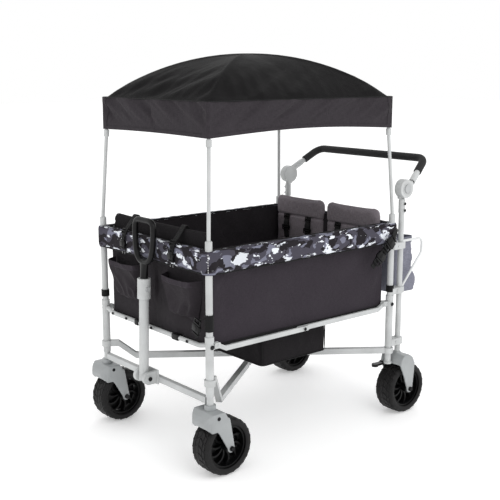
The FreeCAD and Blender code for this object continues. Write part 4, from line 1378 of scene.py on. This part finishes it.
@dataclass
class Seats:
    """Two rear back pads with harness webbing, a front panel and two bench cushions."""

    gap: float = 2 * MM
    seam: float = 750 * MM
    harness: tuple[float, ...] = (-217 * MM, -87 * MM, 87 * MM, 217 * MM)
    hooks: tuple[float, ...] = (-150 * MM, 152 * MM)

    def build(self) -> None:
        """Makes the pads, then what is sewn to them."""
        low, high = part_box("seat_backs_rear")
        back_y = (low.y + 5 * MM, high.y - 5 * MM)
        for side, ends in (("right", (low.x - 1 * MM, -self.gap / 2)), ("left", (self.gap / 2, high.x + 1 * MM))):
            pad = Pad(f"seat_back_{side}", Vector((ends[0], back_y[0], low.z + 4 * MM)),
                      Vector((ends[1], back_y[1], high.z - 5 * MM)), 5 * MM).make()
            sew_line(pad, 2, self.seam, 6 * MM, 1, -1)
            for vertex in pad.data.vertices:
                vertex.co.y = min(vertex.co.y, high.y - 1 * MM)
            self.dress_pad(pad, SEAT, "rear_frame", ["seat_backs_rear"])
        self.panel()
        self.bench("bench_rear", "rear_frame")
        self.bench("bench_front", "front_frame")
        self.harness_webbing(low)
        self.front_webbing()

    def dress_pad(self, pad: bpy.types.Object, look: Finish, body: str, nodes: Sequence[str]) -> None:
        """Maps and dresses one pad."""
        box_uv(pad)
        finish(pad, look, body, nodes)

    def panel(self) -> None:
        """Front back panel with sewn channels and a rolled top edge."""
        low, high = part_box("front_back_panel")
        pad = Pad("front_panel_pad", low + Vector((3, 4, 3)) * MM, high - Vector((3, 4, -6)) * MM, 6 * MM).make()
        for z in (low.z + 120 * MM, low.z + 240 * MM, high.z - 48 * MM):
            sew_line(pad, 2, z, 3.5 * MM, 1, 1, 4 * MM)
        sew_line(pad, 2, high.z - 34 * MM, 3 * MM, 1, -1, 4 * MM)
        for vertex in pad.data.vertices:
            vertex.co.y = max(vertex.co.y, low.y + 1 * MM)
        self.dress_pad(pad, PAD, "front_frame", ["front_back_panel"])

    def bench(self, node: str, body: str) -> None:
        """One bench cushion, flat below and crowned above."""
        low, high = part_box(node)
        pad = Pad(f"{node}_cushion", low + Vector((16, 5, 4)) * MM, high - Vector((16, 5, 9)) * MM, 7 * MM).make()
        for vertex in pad.data.vertices:
            vertex.co.z = max(vertex.co.z, low.z + 1 * MM)
        sew_line(pad, 0, 0.0, 7 * MM, 2, 1, 6 * MM)
        self.dress_pad(pad, PAD, body, [node])

    def harness_webbing(self, low: Vector) -> None:
        """Harness straps out of the seam, each with a slider and a buckle."""
        y, parts, plastic = low.y - 3 * MM, [], []
        for x in self.harness:
            points = [(x, y + 5 * MM, self.seam + 8 * MM), (x, y - 3 * MM, self.seam - 6 * MM),
                      (x, y - 3 * MM, 690 * MM), (x + 2 * MM, y - 3 * MM, 610 * MM), (x + 4 * MM, y - 2 * MM, 548 * MM)]
            parts.append(strap("harness", points, (1, 0, 0)))
            tail = [(x, y - 5 * MM, self.seam - 14 * MM), (x + 5 * MM, y - 16 * MM, self.seam - 40 * MM),
                    (x + 7 * MM, y - 13 * MM, self.seam - 96 * MM)]
            parts.append(strap("harness", tail, (1, 0.2, 0), steps=20))
            clip_z = self.seam - 52 * MM
            plastic.append(placed(slider("slide"), (x, y - 4 * MM, self.seam - 6 * MM), (1, 0, 0), (0, 0.1, 1)))
            plastic.append(placed(buckle("clip"), (x + 1 * MM, y - 5 * MM, clip_z), (1, 0.05, 0), (0, 0, 1)))
            plastic.append(placed(slider("slide"), (x + 5 * MM, y - 17 * MM, clip_z), (1, 0.2, 0), (0, 0, 1)))
            plastic.append(placed(buckle("clip"), (x + 4 * MM, y - 3 * MM, 540 * MM), (1, 0, 0), (0, 0, 1)))
        finish(join("harness_webbing", parts), STRAP, "rear_frame")
        finish(join("harness_buckles", plastic), BUCKLE, "rear_frame")

    def front_webbing(self) -> None:
        """Straps that hook the front panel over the bumper."""
        low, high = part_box("front_back_panel")
        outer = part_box("bumper_cover")[0].y - 2.5 * MM
        parts, plastic, tacks = [], [], []
        for x in self.hooks:
            over = [(x, high.y + 3 * MM, high.z - 70 * MM), (x, high.y + 2 * MM, high.z - 8 * MM),
                    (x, (low.y + high.y) / 2, high.z + 7 * MM), (x, low.y - 6 * MM, high.z - 12 * MM),
                    (x, outer + 8 * MM, 784 * MM), (x, outer, 764 * MM), (x, outer - 1 * MM, 716 * MM)]
            parts.append(strap("hook", over, (1, 0, 0), steps=60))
            plastic.append(placed(buckle("clip"), (x, outer - 2 * MM, 742 * MM), (1, 0, 0), (0, 0, 1)))
            plastic.append(placed(slider("slide"), (x, outer + 6 * MM, 782 * MM), (1, 0, 0), (0, 0.55, 1)))
            for shift in (-8, 8):
                row = [(x + shift * MM, outer - 1.2 * MM, 709 * MM), (x + shift * MM, outer - 1.6 * MM, 700 * MM)]
                tacks.append(stitches("tack", row, (0, -1, 0), 4 * MM, 1.2 * MM, 3 * MM))
        finish(join("panel_straps", parts), STRAP, "front_frame")
        finish(join("panel_buckles", plastic), BUCKLE, "front_frame")
        finish(join("panel_tacks", tacks), THREAD, "front_frame")


@dataclass
class FrontPockets:
    """Two hanging pockets on the front wall with gathered mouths."""

    hem: float = 18 * MM
    taper: float = 30 * MM
    middle_gap: float = 72 * MM

    def build(self) -> None:
        """Makes both pockets."""
        low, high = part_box("front_pockets")
        self.low, self.high = low, high
        width = high.x - self.middle_gap
        for side, x in (("right", -self.middle_gap - width), ("left", self.middle_gap)):
            self.pocket(side, x, width)

    def point(self, x: float, width: float, u: float, v: float) -> Vector:
        """Point of a pocket: u across with returns at both sides, v down."""
        low, high = self.low, self.high
        inset = self.taper * v ** 1.6
        across = (u - 0.5) * (width - 2 * inset)
        edge = 1 - abs(2 * u - 1)
        belly = ease(edge * 4.5) ** 0.6
        mouth = (1.34 - 0.42 * ease(v * 1.3)) * (1 - ease((v - 0.78) / 0.22) ** 2 * 0.85)
        depth = (high.y - low.y - 1.5 * MM) * belly * mouth
        slant = u * 2.4 + v * 1.3 * (1 if x > 0 else -1)
        depth -= abs(wobble(slant * 1.3, v * 1.3, x * 30)) * 15 * MM * belly * (0.45 + 0.55 * v)
        depth += wobble(u * 5 + v * 2, v * 2, x * 17 + 4) * 1.6 * MM * belly
        sagging = 7 * MM * math.sin(math.pi * u) * (1 - v)
        z = high.z - 2 * MM - v * (high.z - low.z - 3 * MM) - sagging
        return Vector((x + width / 2 + across, high.y - 1.5 * MM - depth, z))

    def pocket(self, side: str, x: float, width: float) -> None:
        """One pocket with its hem."""
        height = self.high.z - self.low.z
        body = surface(f"front_pocket_{side}", 70, 44, lambda u, v: self.point(x, width, u, v), (width * 1.15, height))
        cloth(body, width * 1.2, 1.4 * MM)
        # The pocket body wears the shell's cloth with painted shade; its hem keeps the plain shell cloth.
        finish(body, POCKET_PAINTED_SHADE, "front_frame", ["front_pockets"])

        def hem_place(u: float, v: float) -> Vector:
            """Point of the turned hem."""
            return self.point(x, width, u, v * self.hem / height) + Vector((0, -1.4 * MM, 1.2 * MM * (1 - v)))

        hem = surface("hem", 70, 4, hem_place, (width * 1.15, self.hem))
        thicken(hem, 1.6 * MM, 0.0)
        smooth(hem, 60)
        hem.name = hem.data.name = f"front_pocket_hem_{side}"
        finish(hem, SHELL, "front_frame")
        line = [self.point(x, width, i / 12, self.hem / height) + Vector((0, -2.2 * MM, 0)) for i in range(1, 12)]
        seam = stitches(f"front_pocket_seam_{side}", line, (0, -1, 0), 4.5 * MM, 0.8 * MM, 3 * MM)
        finish(seam, DARK_THREAD, "front_frame")


@dataclass
class RearBag:
    """Soft open bag that hangs behind the rear legs from two wire hoops."""

    corner: float = 34 * MM
    mouth: float = 30 * MM
    hem: float = 20 * MM

    def __post_init__(self) -> None:
        """Reads the bag's box."""
        self.low, self.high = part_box("rear_bag")
        self.middle = (self.low + self.high) / 2

    def point(self, u: float, v: float) -> Vector:
        """Point of the bag: u around, v from the mouth down and in across the bottom."""
        low, high = self.low, self.high
        wall = 0.76
        t = min(1.0, v / wall)
        back = high.y - self.mouth * (1 - ease(t * 1.15)) - 6 * MM * ease((t - 0.85) / 0.15)
        half_x = (high.x - low.x) / 2 - 6 * MM - 5 * MM * math.sin(math.pi * t)
        half_y, middle = (back - low.y) / 2, (back + low.y) / 2
        loop = Loop(half_x, half_y, middle, min(self.corner, half_y * 0.8))
        point, out = loop.at(u)
        t_side = point.x / half_x
        sag = 9 * MM * (1 - t_side ** 2) * (1 - t) if out.y > 0.3 else 0.0
        z = high.z - 1 * MM + (low.z + 6 * MM - high.z) * t - sag
        along = u * loop.length()
        crease = wobble(along * 8 + t * 2.2, 2.2, t * 2.4) * 10 * MM + wobble(along * 22 - t * 4, 5.1, t * 4) * 4 * MM
        crease += math.exp(-((1 - abs(t_side)) / 0.14) ** 2) * wobble(t * 14, along * 6, 1.0) * 3 * MM
        crease *= math.sin(math.pi * min(1, 0.12 + t * 0.8)) * (0.3 if out.y < -0.3 else 1.0)
        point = point - out * (abs(crease) if out.y > -0.3 else 0.0)
        if v > wall:
            s = (v - wall) / (1 - wall)
            centre = Vector((0, middle, 0))
            point = centre + (point - centre) * (1 - s)
            z -= 5 * MM * ease(s * 5) - 2 * MM * wobble(point.x * 12, point.y * 12)
        return Vector((point.x, point.y, max(z, low.z - 3 * MM)))

    def build(self) -> None:
        """Makes the bag, its hem and its seams."""
        around = 2 * (self.high.x - self.low.x + self.high.y - self.low.y)
        bag = surface("rear_bag_cloth", 360, 80, self.point, (around, 0.30), welded=True)
        cloth(bag, around, 1.6 * MM)
        finish(bag, BAG, "rear_frame", ["rear_bag"])
        hem = surface("rear_bag_hem", 360, 4, self.hem_point, (around, self.hem), welded=True)
        thicken(hem, 2.0 * MM, 0.0)
        smooth(hem, 60)
        finish(hem, BAG, "rear_frame")
        seams = []
        for u in (0.20, 0.30, 0.70, 0.80):
            line = [self.point(u, v / 20) + self.outward(u) * 0.6 * MM for v in range(15)]
            seams.append(tube("seam", line, 1.5 * MM, 40, 8))
        finish(join("rear_bag_seams", seams), BAG, "rear_frame")

    def outward(self, u: float) -> Vector:
        """Rough way out of the bag at a share of its mouth."""
        point = self.point(u, 0.3) - self.middle
        return Vector((point.x, point.y * 3, 0)).normalized()

    def hem_point(self, u: float, v: float) -> Vector:
        """Point of the folded mouth."""
        return self.point(u, v * 0.085) + self.outward(u) * 1.3 * MM + Vector((0, 0, 1 * MM * (1 - v)))


# --- webbing on the corners ---------------------------------------------------------------------
@dataclass
class CornerWebbing:
    """Webbing that ties the tub to the legs, and the rear canopy straps."""

    width: float = 25 * MM

    def build(self) -> None:
        """Makes the loops, the hanging strap and the rear corner straps."""
        for sx, side in ((-1, "right"), (1, "left")):
            for y, end, body in ((AT.front_y, "front", "front_frame"), (AT.rear_y, "rear", "rear_frame")):
                tall = side == "left" and end == "front"
                z = (509 * MM, 566 * MM) if tall else (505 * MM, 531 * MM)
                loop = Loop(14.2 * MM, 14.2 * MM, y, 13.6 * MM)
                obj = band(f"leg_loop_{end}_{side}", loop, lambda s, top=z[1]: top, z[1] - z[0], 0.0, 1.8 * MM, 48, 8)
                obj.data.transform(Matrix.Translation((sx * AT.leg_x, 0, 0)))
                finish(obj, STRAP, body)
        self.hanging_strap()
        self.corner_straps()

    def hanging_strap(self) -> None:
        """Short strap with a buckle from the front left leg loop."""
        x, y = AT.leg_x - 26 * MM, AT.front_y - 16 * MM
        line = [(x + 18 * MM, y + 2 * MM, 556 * MM), (x + 2 * MM, y - 3 * MM, 545 * MM),
                (x - 10 * MM, y - 6 * MM, 520 * MM), (x - 14 * MM, y - 5 * MM, 484 * MM)]
        finish(strap("leg_strap", line, (0.9, 0, 0.4), self.width, 2 * MM, 24), STRAP, "front_frame")
        clip = buckle("leg_strap_buckle")
        clip.data.transform(Matrix.Scale(1.25, 4))
        placed(clip, (x - 8 * MM, y - 7 * MM, 522 * MM), (0.93, 0, -0.3), (0.3, 0, 0.93))
        finish(clip, BUCKLE, "front_frame")

    def corner_straps(self) -> None:
        """Straps with buckles that slope down in front of each rear leg."""
        parts, plastic = [], []
        for sx in (-1, 1):
            x = sx * (AT.leg_x + 29 * MM)
            line = [(x - sx * 10 * MM, AT.rear_y + 8 * MM, 758 * MM), (x, AT.rear_y - 26 * MM, 724 * MM),
                    (x, AT.rear_y - 74 * MM, 682 * MM), (x - sx * 8 * MM, AT.rear_y - 128 * MM, 622 * MM)]
            parts.append(strap("corner", line, (0, 0.75, -0.66), self.width, 2 * MM, 40))
            path = smooth_path(line, 20)
            for i in (8, 15):
                way = (path[i + 1] - path[i - 1]).normalized()
                across = way.cross(Vector((sx, 0, 0)))
                clip = buckle("clip")
                clip.data.transform(Matrix.Scale(1.4, 4))
                plastic.append(placed(clip, path[i] + Vector((sx * 1 * MM, 0, 0)), across, way))
        finish(join("corner_straps", parts), STRAP, "rear_frame")
        finish(join("corner_buckles", plastic), BUCKLE, "rear_frame")


# --- wheels -------------------------------------------------------------------------------------
@dataclass
class Tyre:
    """Wide soft tyre with rows of slanted lugs."""

    radius: float = 101 * MM
    bead: float = 76 * MM
    lugs: int = 24

    def section(self, v: float) -> tuple[float, float]:
        """Across and radial place on the carcass: v from one bead to the other."""
        rows = [(-38, self.bead / MM), (-42.5, 80), (-43.6, 86), (-42.4, 92), (-39, 96), (-30, 98.2), (-15, 98.9),
                (0, 99.1)]
        rows += [(-x, r) for x, r in reversed(rows[:-1])]
        path = smooth_path([(x * MM, r * MM, 0) for x, r in rows], 40)
        point = path[round(v * 40)]
        return point.x, point.y

    def build(self) -> bpy.types.Object:
        """Makes one tyre around the X axis at the origin."""
        rows = [self.section(i / 40) for i in range(41)]

        def place(u: float, v: float) -> Vector:
            """Point around and across the tyre."""
            x, r = rows[round(v * 40)]
            return Vector((x, r * math.cos(TAU * u), r * math.sin(TAU * u)))

        body = surface("tyre", 120, 40, place, (TAU * self.radius, 0.16), welded=True)
        parts = [body]
        for kind in ("centre", "middle", "shoulder"):
            for side in (-1, 1):
                seed = self.lug(kind, side)
                for i in range(self.lugs):
                    turn = TAU * i / self.lugs
                    parts.append(copy(seed, "lug", Matrix.Rotation(turn, 4, "X")))
                bpy.data.objects.remove(seed)
        for side in (-1, 1):
            ring = [Vector((side * 41.6 * MM, 89 * MM * math.cos(TAU * i / 96), 89 * MM * math.sin(TAU * i / 96)))
                    for i in range(97)]
            parts.append(tube("ring", ring, 1.5 * MM, sides=8, closed=True))
        tyre = join("tyre", parts)
        smooth(tyre, 35)
        return tyre

    def lug(self, kind: str, side: int) -> bpy.types.Object:
        """One raised lug at the top of the tyre."""
        ends = {"centre": ((0.2, 18), (10.0, -2.0), 22.5), "middle": ((19.2, 31.5), (-3.0, -9.5), 22.0),
                "shoulder": ((32.6, 42.8), (-10.5, -13.0), 21.5)}[kind]
        (x0, x1), (s0, s1), width = ends
        deselect()
        bpy.ops.mesh.primitive_cube_add(size=1)
        obj = named("lug")
        for vertex in obj.data.vertices:
            far = vertex.co.x > 0
            across = (x1 if far else x0) * MM
            slide = (s1 if far else s0) * MM + vertex.co.y * width * MM
            top = self.radius - (0.3 * MM if across < 20 * MM else 0.9 * MM)
            if kind == "shoulder":
                top = self.radius - (8.0 * MM if far else 1.4 * MM)
            depth = 6 * MM
            r = top if vertex.co.z > 0 else top - depth
            inset = 0.6 * MM if vertex.co.z > 0 else 0.0
            narrow = 0.93 if vertex.co.z > 0 else 1
            vertex.co = Vector((side * (across + (-inset if far else inset)), slide * narrow, r))
        if side < 0:
            obj.data.flip_normals()
        modify(obj, "BEVEL", width=0.9 * MM, segments=1)
        return obj


@dataclass
class Wheels:
    """All four wheels: tyres in place of the plain ones, hub caps and valve stems."""

    def build(self) -> None:
        """Places a tyre and a hub on each wheel."""
        seed, hub = Tyre().build(), self.hub()
        for end in ("front", "rear"):
            for side, sx in (("left", 1), ("right", -1)):
                low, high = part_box(f"{end}_tyre_{side}")
                middle = (low + high) / 2
                turn = Matrix.Translation(middle) @ (Matrix.Identity(4) if sx > 0 else Matrix.Rotation(math.pi, 4, "Z"))
                body = f"{end}_wheel_{side}"
                finish(copy(seed, f"{end}_tread_{side}", turn), TYRE, body, [f"{end}_tyre_{side}"])
                finish(copy(hub, f"{end}_hub_cap_{side}", turn), RIM_PLASTIC, body)
        for obj in (seed, hub):
            bpy.data.objects.remove(obj)

    def hub(self) -> bpy.types.Object:
        """Stepped collar rings on both faces of the hub, and the valve."""
        parts = []
        for side in (-1, 1):
            for radius, x0, x1 in ((19, 40, 47), (14.5, 46, 49.5)):
                ring = drum("ring", radius * MM, (side * x0 * MM, 0, 0), (side * x1 * MM, 0, 0), 1.2 * MM)
                parts.append(ring)
        parts.append(drum("web", 66 * MM, (-3 * MM, 0, 0), (3 * MM, 0, 0), 0.8 * MM, 64))
        parts.append(drum("valve", 3 * MM, (40 * MM, 0, 60 * MM), (47 * MM, 0, 56 * MM), 0.6 * MM, 12))
        return join("hub", parts)


# --- metal parts --------------------------------------------------------------------------------
@dataclass
class Hardware:
    """Bolts, caps and clips that the frame's own nodes don't carry."""

    head: float = 5.6 * MM
    bolts: dict[str, list[bpy.types.Object]] = field(default_factory=dict)

    def bolt(self, body: str, at: Point, out: Point, radius: float = 0.0, high: float = 3.4 * MM) -> None:
        """A domed socket bolt with its washer, standing out of a face."""
        radius = radius or self.head
        at, out = Vector(at), Vector(out).normalized()
        washer = drum("washer", radius * 1.35, at - out * 1 * MM, at + out * 1 * MM, 0.4 * MM, 28)
        head = drum("head", radius, at, at + out * high, radius * 0.35, 28)
        choose(head, "FACE", lambda face: face.normal.dot(out) > 0.99 and len(face.vertices) > 12)
        bpy.ops.mesh.inset(thickness=radius * 0.3)
        bpy.ops.transform.translate(value=-out * 1.6 * MM)
        bpy.ops.object.mode_set(mode="OBJECT")
        self.bolts.setdefault(body, []).extend([washer, head])

    def build(self) -> None:
        """Sets every bolt, then dresses them by body."""
        low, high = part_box("front_rails")
        rail_y = (low.y + high.y) / 2
        for x in (-262 * MM, -169 * MM, -3 * MM, 214 * MM):
            self.bolt("front_frame", (x, low.y, low.z + 10 * MM), (0, -1, 0), 4.2 * MM)
        joints = []
        for x0, x1 in ((-114, -90), (122, 160)):
            corners = (x0 * MM, rail_y - 11 * MM, low.z - 2 * MM), (x1 * MM, rail_y + 11 * MM, low.z + 20 * MM)
            joints.append(block("joint", *corners, 4 * MM))
        finish(join("front_rail_joints", joints), BLACK_PLASTIC, "front_frame")
        for sx in (-1, 1):
            for y, body in ((AT.front_y, "front_frame"), (AT.rear_y, "rear_frame")):
                low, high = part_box("front_leg_sleeves" if body == "front_frame" else "rear_leg_sleeves")
                self.bolt(body, (sx * high.x, y, 456 * MM), (sx, 0, 0))
            rail_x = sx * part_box("side_rails_front")[1].x
            self.bolt("side_rails_front", (rail_x, AT.mid_y - 20 * MM, 441 * MM), (sx, 0, 0), 4.6 * MM)
            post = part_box("push_posts")[1]
            for z in (822 * MM, 848 * MM):
                self.bolt("rear_frame", (sx * post.x, AT.rear_y + 55 * MM, z), (sx, 0, 0), 4.2 * MM, 2.6 * MM)
            for end in ("front", "rear"):
                body = f"caster_{'left' if sx > 0 else 'right'}" if end == "front" else "rear_frame"
                node = f"front_axle_{'left' if sx > 0 else 'right'}" if end == "front" else "rear_axles"
                low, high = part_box(node)
                tip = high.x if sx > 0 else (-high.x if end == "rear" else low.x)
                self.bolt(body, (tip - sx * 1 * MM, (low.y + high.y) / 2, 101 * MM), (sx, 0, 0), 6.5 * MM, 3 * MM)
            side = "left" if sx > 0 else "right"
            low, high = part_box(f"front_fork_{side}")
            for x, out in ((high.x, 1), (low.x, -1)):
                place = (x - out * 0.6 * MM, AT.front_y - 6 * MM, 221 * MM)
                self.bolt(f"caster_{side}", place, (out, 0, 0), 5 * MM, 2.6 * MM)
        low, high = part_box("pull_pivot_bracket")
        for sx in (-1, 1):
            self.bolt("front_frame", (sx * high.x, low.y + 23 * MM, 277 * MM), (sx, 0, 0), 6 * MM)
        for body, parts in self.bolts.items():
            finish(join(f"bolts_{body}", parts), DARK_BOLT, body)
        self.hub_trim()

    def hub_trim(self) -> None:
        """Raised ring on each push handle hub."""
        outer_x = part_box("push_hub_caps")[1].x
        low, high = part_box("push_button_left")
        y, z = (low.y + high.y) / 2, (low.z + high.z) / 2
        for sx, side in ((-1, "right"), (1, "left")):
            x, r = sx * (outer_x + 0.2 * MM), 22 * MM
            ring = [Vector((x, y + r * math.cos(TAU * i / 72), z + r * math.sin(TAU * i / 72))) for i in range(73)]
            obj = tube(f"hub_ring_{side}", ring, 1.3 * MM, sides=8, closed=True)
            finish(obj, GREY_PLASTIC, "push_handle")


@dataclass
class Forks:
    """Wheel forks as one-piece mouldings: the frame's own shapes with soft, generous roundings."""

    voxel: float = 2.2 * MM
    webs: tuple[tuple[tuple[float, float], ...], ...] = (
        ((30, 44), (-45, -28), (184, 207)), ((40, 53.5), (-33, -10), (172, 207)), ((36, 49), (-41, -24), (179, 206)))
    nodes: dict[str, str] = field(default_factory=lambda: {
        "front_fork_left": "caster_left", "front_fork_right": "caster_right", "rear_forks": "rear_frame"})

    def build(self) -> None:
        """Makes a rounded fork for each of the frame's."""
        for node, body in self.nodes.items():
            piece = copy(frame["nodes"][node], f"{node}_moulding", Matrix.Identity(4))
            piece.data.materials.clear()
            weld(piece)
            piece = self.web(piece, node)
            modify(piece, "REMESH", mode="VOXEL", voxel_size=self.voxel)
            modify(piece, "SMOOTH", factor=0.5, iterations=7)
            modify(piece, "DECIMATE", ratio=0.5)
            smooth(piece, 80)
            finish(piece, ALLOY, body, [node])

    def web(self, piece: bpy.types.Object, node: str) -> bpy.types.Object:
        """Fills the inside corner between a swivelling crown and its arms."""
        if node == "rear_forks":
            return piece
        low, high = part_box(node)
        middle, y, parts = (low.x + high.x) / 2, AT.front_y, [piece]
        for sx in (-1, 1):
            for (x0, x1), (y0, y1), (z0, z1) in self.webs:
                ends = sorted((middle + sx * x0 * MM, middle + sx * x1 * MM))
                parts.append(block("web", (ends[0], y + y0 * MM, z0 * MM), (ends[1], y + y1 * MM, z1 * MM), 1 * MM))
        return join(piece.name, parts)


@dataclass
class PullGrip:
    """Moulded loop grip on the pull handle, its neck and the inner rod."""

    bar: float = 10.6 * MM
    rod: float = 14 * MM

    def __post_init__(self) -> None:
        """Reads the handle's pivot and the way it slides."""
        joints = {joint["name"]: joint for joint in frame["record"]["behaviour"]["joints"]}
        self.pivot = Vector(joints["pull_tilt"]["pos_m"])
        self.way = Vector(joints["pull_extend"]["axis"]).normalized()
        self.top = (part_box("pull_grip")[1].z - self.pivot.z) / self.way.z

    def point(self, x: float, along: float, out: float = 0.0) -> Vector:
        """Point at a distance across, along the handle and in front of it."""
        return self.pivot + self.way * along + Vector((x, 0, 0)) + Vector((0, -1, 0)) * out

    def build(self) -> None:
        """Makes the loop, its neck and the rod."""
        top = self.top - self.bar
        half = [(0, top - 150 * MM), (27 * MM, top - 142 * MM), (46 * MM, top - 118 * MM), (54 * MM, top - 78 * MM),
                (57 * MM, top - 36 * MM), (53 * MM, top - 12 * MM), (37 * MM, top - 1 * MM), (0, top)]
        path = smooth_path([self.point(x, t) for x, t in half], 60)
        path += [Vector((-p.x, p.y, p.z)) for p in reversed(path[:-1])]
        loop = tube("loop", path, self.bar, sides=20, closed=True)
        rows = [(-20, 14.2, 14.2), (0, 15.5, 14.6), (18, 16, 13.6), (36, 17.5, 12), (54, 21, 10.6), (66, 27, 9.6),
                (76, 24, 7)]
        start, count = self.top - self.bar - 212 * MM, len(rows) + 1

        def neck_place(u: float, v: float) -> Vector:
            """Point around and along the neck, closed at both ends."""
            i = round(v * count)
            t, wide, deep = rows[min(max(i - 1, 0), len(rows) - 1)]
            share = 0.0 if i in (0, count) else 1.0
            x, out = math.cos(TAU * u) * wide * MM * share, math.sin(TAU * u) * deep * MM * share
            return self.point(x, start + t * MM, out)

        neck = surface("neck", 32, count, neck_place, (0.1, 0.1), welded=True)
        modify(neck, "SUBSURF", levels=1, render_levels=1)
        grip = join("pull_grip_loop", [loop, neck])
        smooth(grip, 70)
        finish(grip, BLACK_PLASTIC, "pull_slider", ["pull_grip"])
        low = (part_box("pull_grip")[0].z - self.pivot.z) / self.way.z
        rod = drum("pull_rod", self.rod, self.point(0, low), self.point(0, start), 1 * MM)
        finish(rod, STEEL, "pull_slider")


FINISHES: dict[Finish, str] = {
    STEEL: "rear_legs front_legs push_posts front_rails rear_rails side_rails_front side_rails_rear front_cross_tube "
           "brace_front_left brace_front_right brace_rear_left brace_rear_right canopy_posts_front canopy_posts_rear "
           "push_handle_tube pull_tube",
    GREY_PLASTIC: "front_leg_sleeves rear_leg_sleeves canopy_sockets_front canopy_sockets_rear rear_leg_clamps "
                  "push_hub_bases push_hub_caps pull_collar pull_pivot_bracket",
    ALLOY: "bearing_cups",
    BUTTON: "push_button_left push_button_right pull_button",
    BLACK_PLASTIC: "brake_pedal_left brake_pedal_right",
    RIM_PLASTIC: "front_rim_left front_rim_right rear_rim_left rear_rim_right",
    DARK_BOLT: "front_axle_left front_axle_right rear_axles",
    FOAM: "push_grip",
    WIRE: "bag_hoops",
}


# --- room ---------------------------------------------------------------------------------------
@dataclass
class Studio:
    """Pale floor, soft lights and the camera."""

    azimuth: float = 50.095
    elevation: float = 11.251
    distance: float = 3.5235
    height: float = 0.677
    lens: float = 65.95

    def build(self) -> None:
        """Makes the floor, the light and the camera."""
        deselect()
        bpy.ops.mesh.primitive_plane_add(size=60, location=(0, 0, -0.0005))
        floor = named("floor")
        floor.data.materials.append(self.floor_look())
        world = bpy.data.worlds.new("studio")
        bpy.context.scene.world = world
        world.use_nodes = True
        world.node_tree.nodes["Background"].inputs["Color"].default_value = (1, 1, 1, 1)
        world.node_tree.nodes["Background"].inputs["Strength"].default_value = 1.0
        target = Vector((0, AT.mid_y, self.height))
        self.lamp("key", (3.2, -0.6, 3.4), target, 2.0, 26)
        self.lamp("fill", (3.6, 1.6, 1.5), target, 2.4, 7)
        self.lamp("rim", (-2.6, 2.4, 2.6), target, 2.0, 12)
        azimuth, elevation = math.radians(self.azimuth), math.radians(self.elevation)
        flat = math.cos(elevation)
        way = Vector((flat * math.sin(azimuth), -flat * math.cos(azimuth), math.sin(elevation)))
        eye = target + way * self.distance
        deselect()
        bpy.ops.object.camera_add(location=eye, rotation=(target - eye).to_track_quat("-Z", "Y").to_euler())
        camera = bpy.context.object
        camera.data.lens, camera.data.sensor_width, camera.data.shift_x = self.lens, 36, 0.002
        bpy.context.scene.camera = camera
        bpy.context.scene.view_settings.view_transform = "Standard"

    def floor_look(self) -> bpy.types.Material:
        """Matt pale floor with a trace of unevenness."""
        g = Graph("studio_floor")
        cloud = g.noise(g.place(), 1.2, 3.0)
        base = g.mix(cloud, (0.90, 0.90, 0.90), (0.93, 0.93, 0.93))
        return g.surface({"Base Color": base, "Roughness": 0.9 + 0.05 * cloud},
                         {"Specular IOR Level": 0.1, "Emission Color": (1, 1, 1), "Emission Strength": 0.28})

    def lamp(self, name: str, place: Point, target: Vector, size: float, power: float) -> None:
        """One square area light aimed at the wagon."""
        place = Vector(place)
        turn = (target - place).to_track_quat("-Z", "Y").to_euler()
        bpy.ops.object.light_add(type="AREA", location=place, rotation=turn)
        light = bpy.context.object
        light.name = name
        light.data.size, light.data.energy = size, power


def write_sizes() -> None:
    """Updates the view layer."""
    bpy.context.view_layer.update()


def main() -> None:
    """Builds the wagon's looks."""
    logging.basicConfig(level=logging.INFO, format="%(message)s")
    for look, nodes in FINISHES.items():
        dress(look, *nodes.split())
    for part in (Canopy(), Bumper(), Tub(), Seats(), FrontPockets(), RearBag(), CornerWebbing(), Wheels(), Hardware(),
                 Forks(), PullGrip(), Studio()):
        LOG.info("building %s", type(part).__name__)
        part.build()
    write_sizes()


if __name__ == "__main__":
    main()
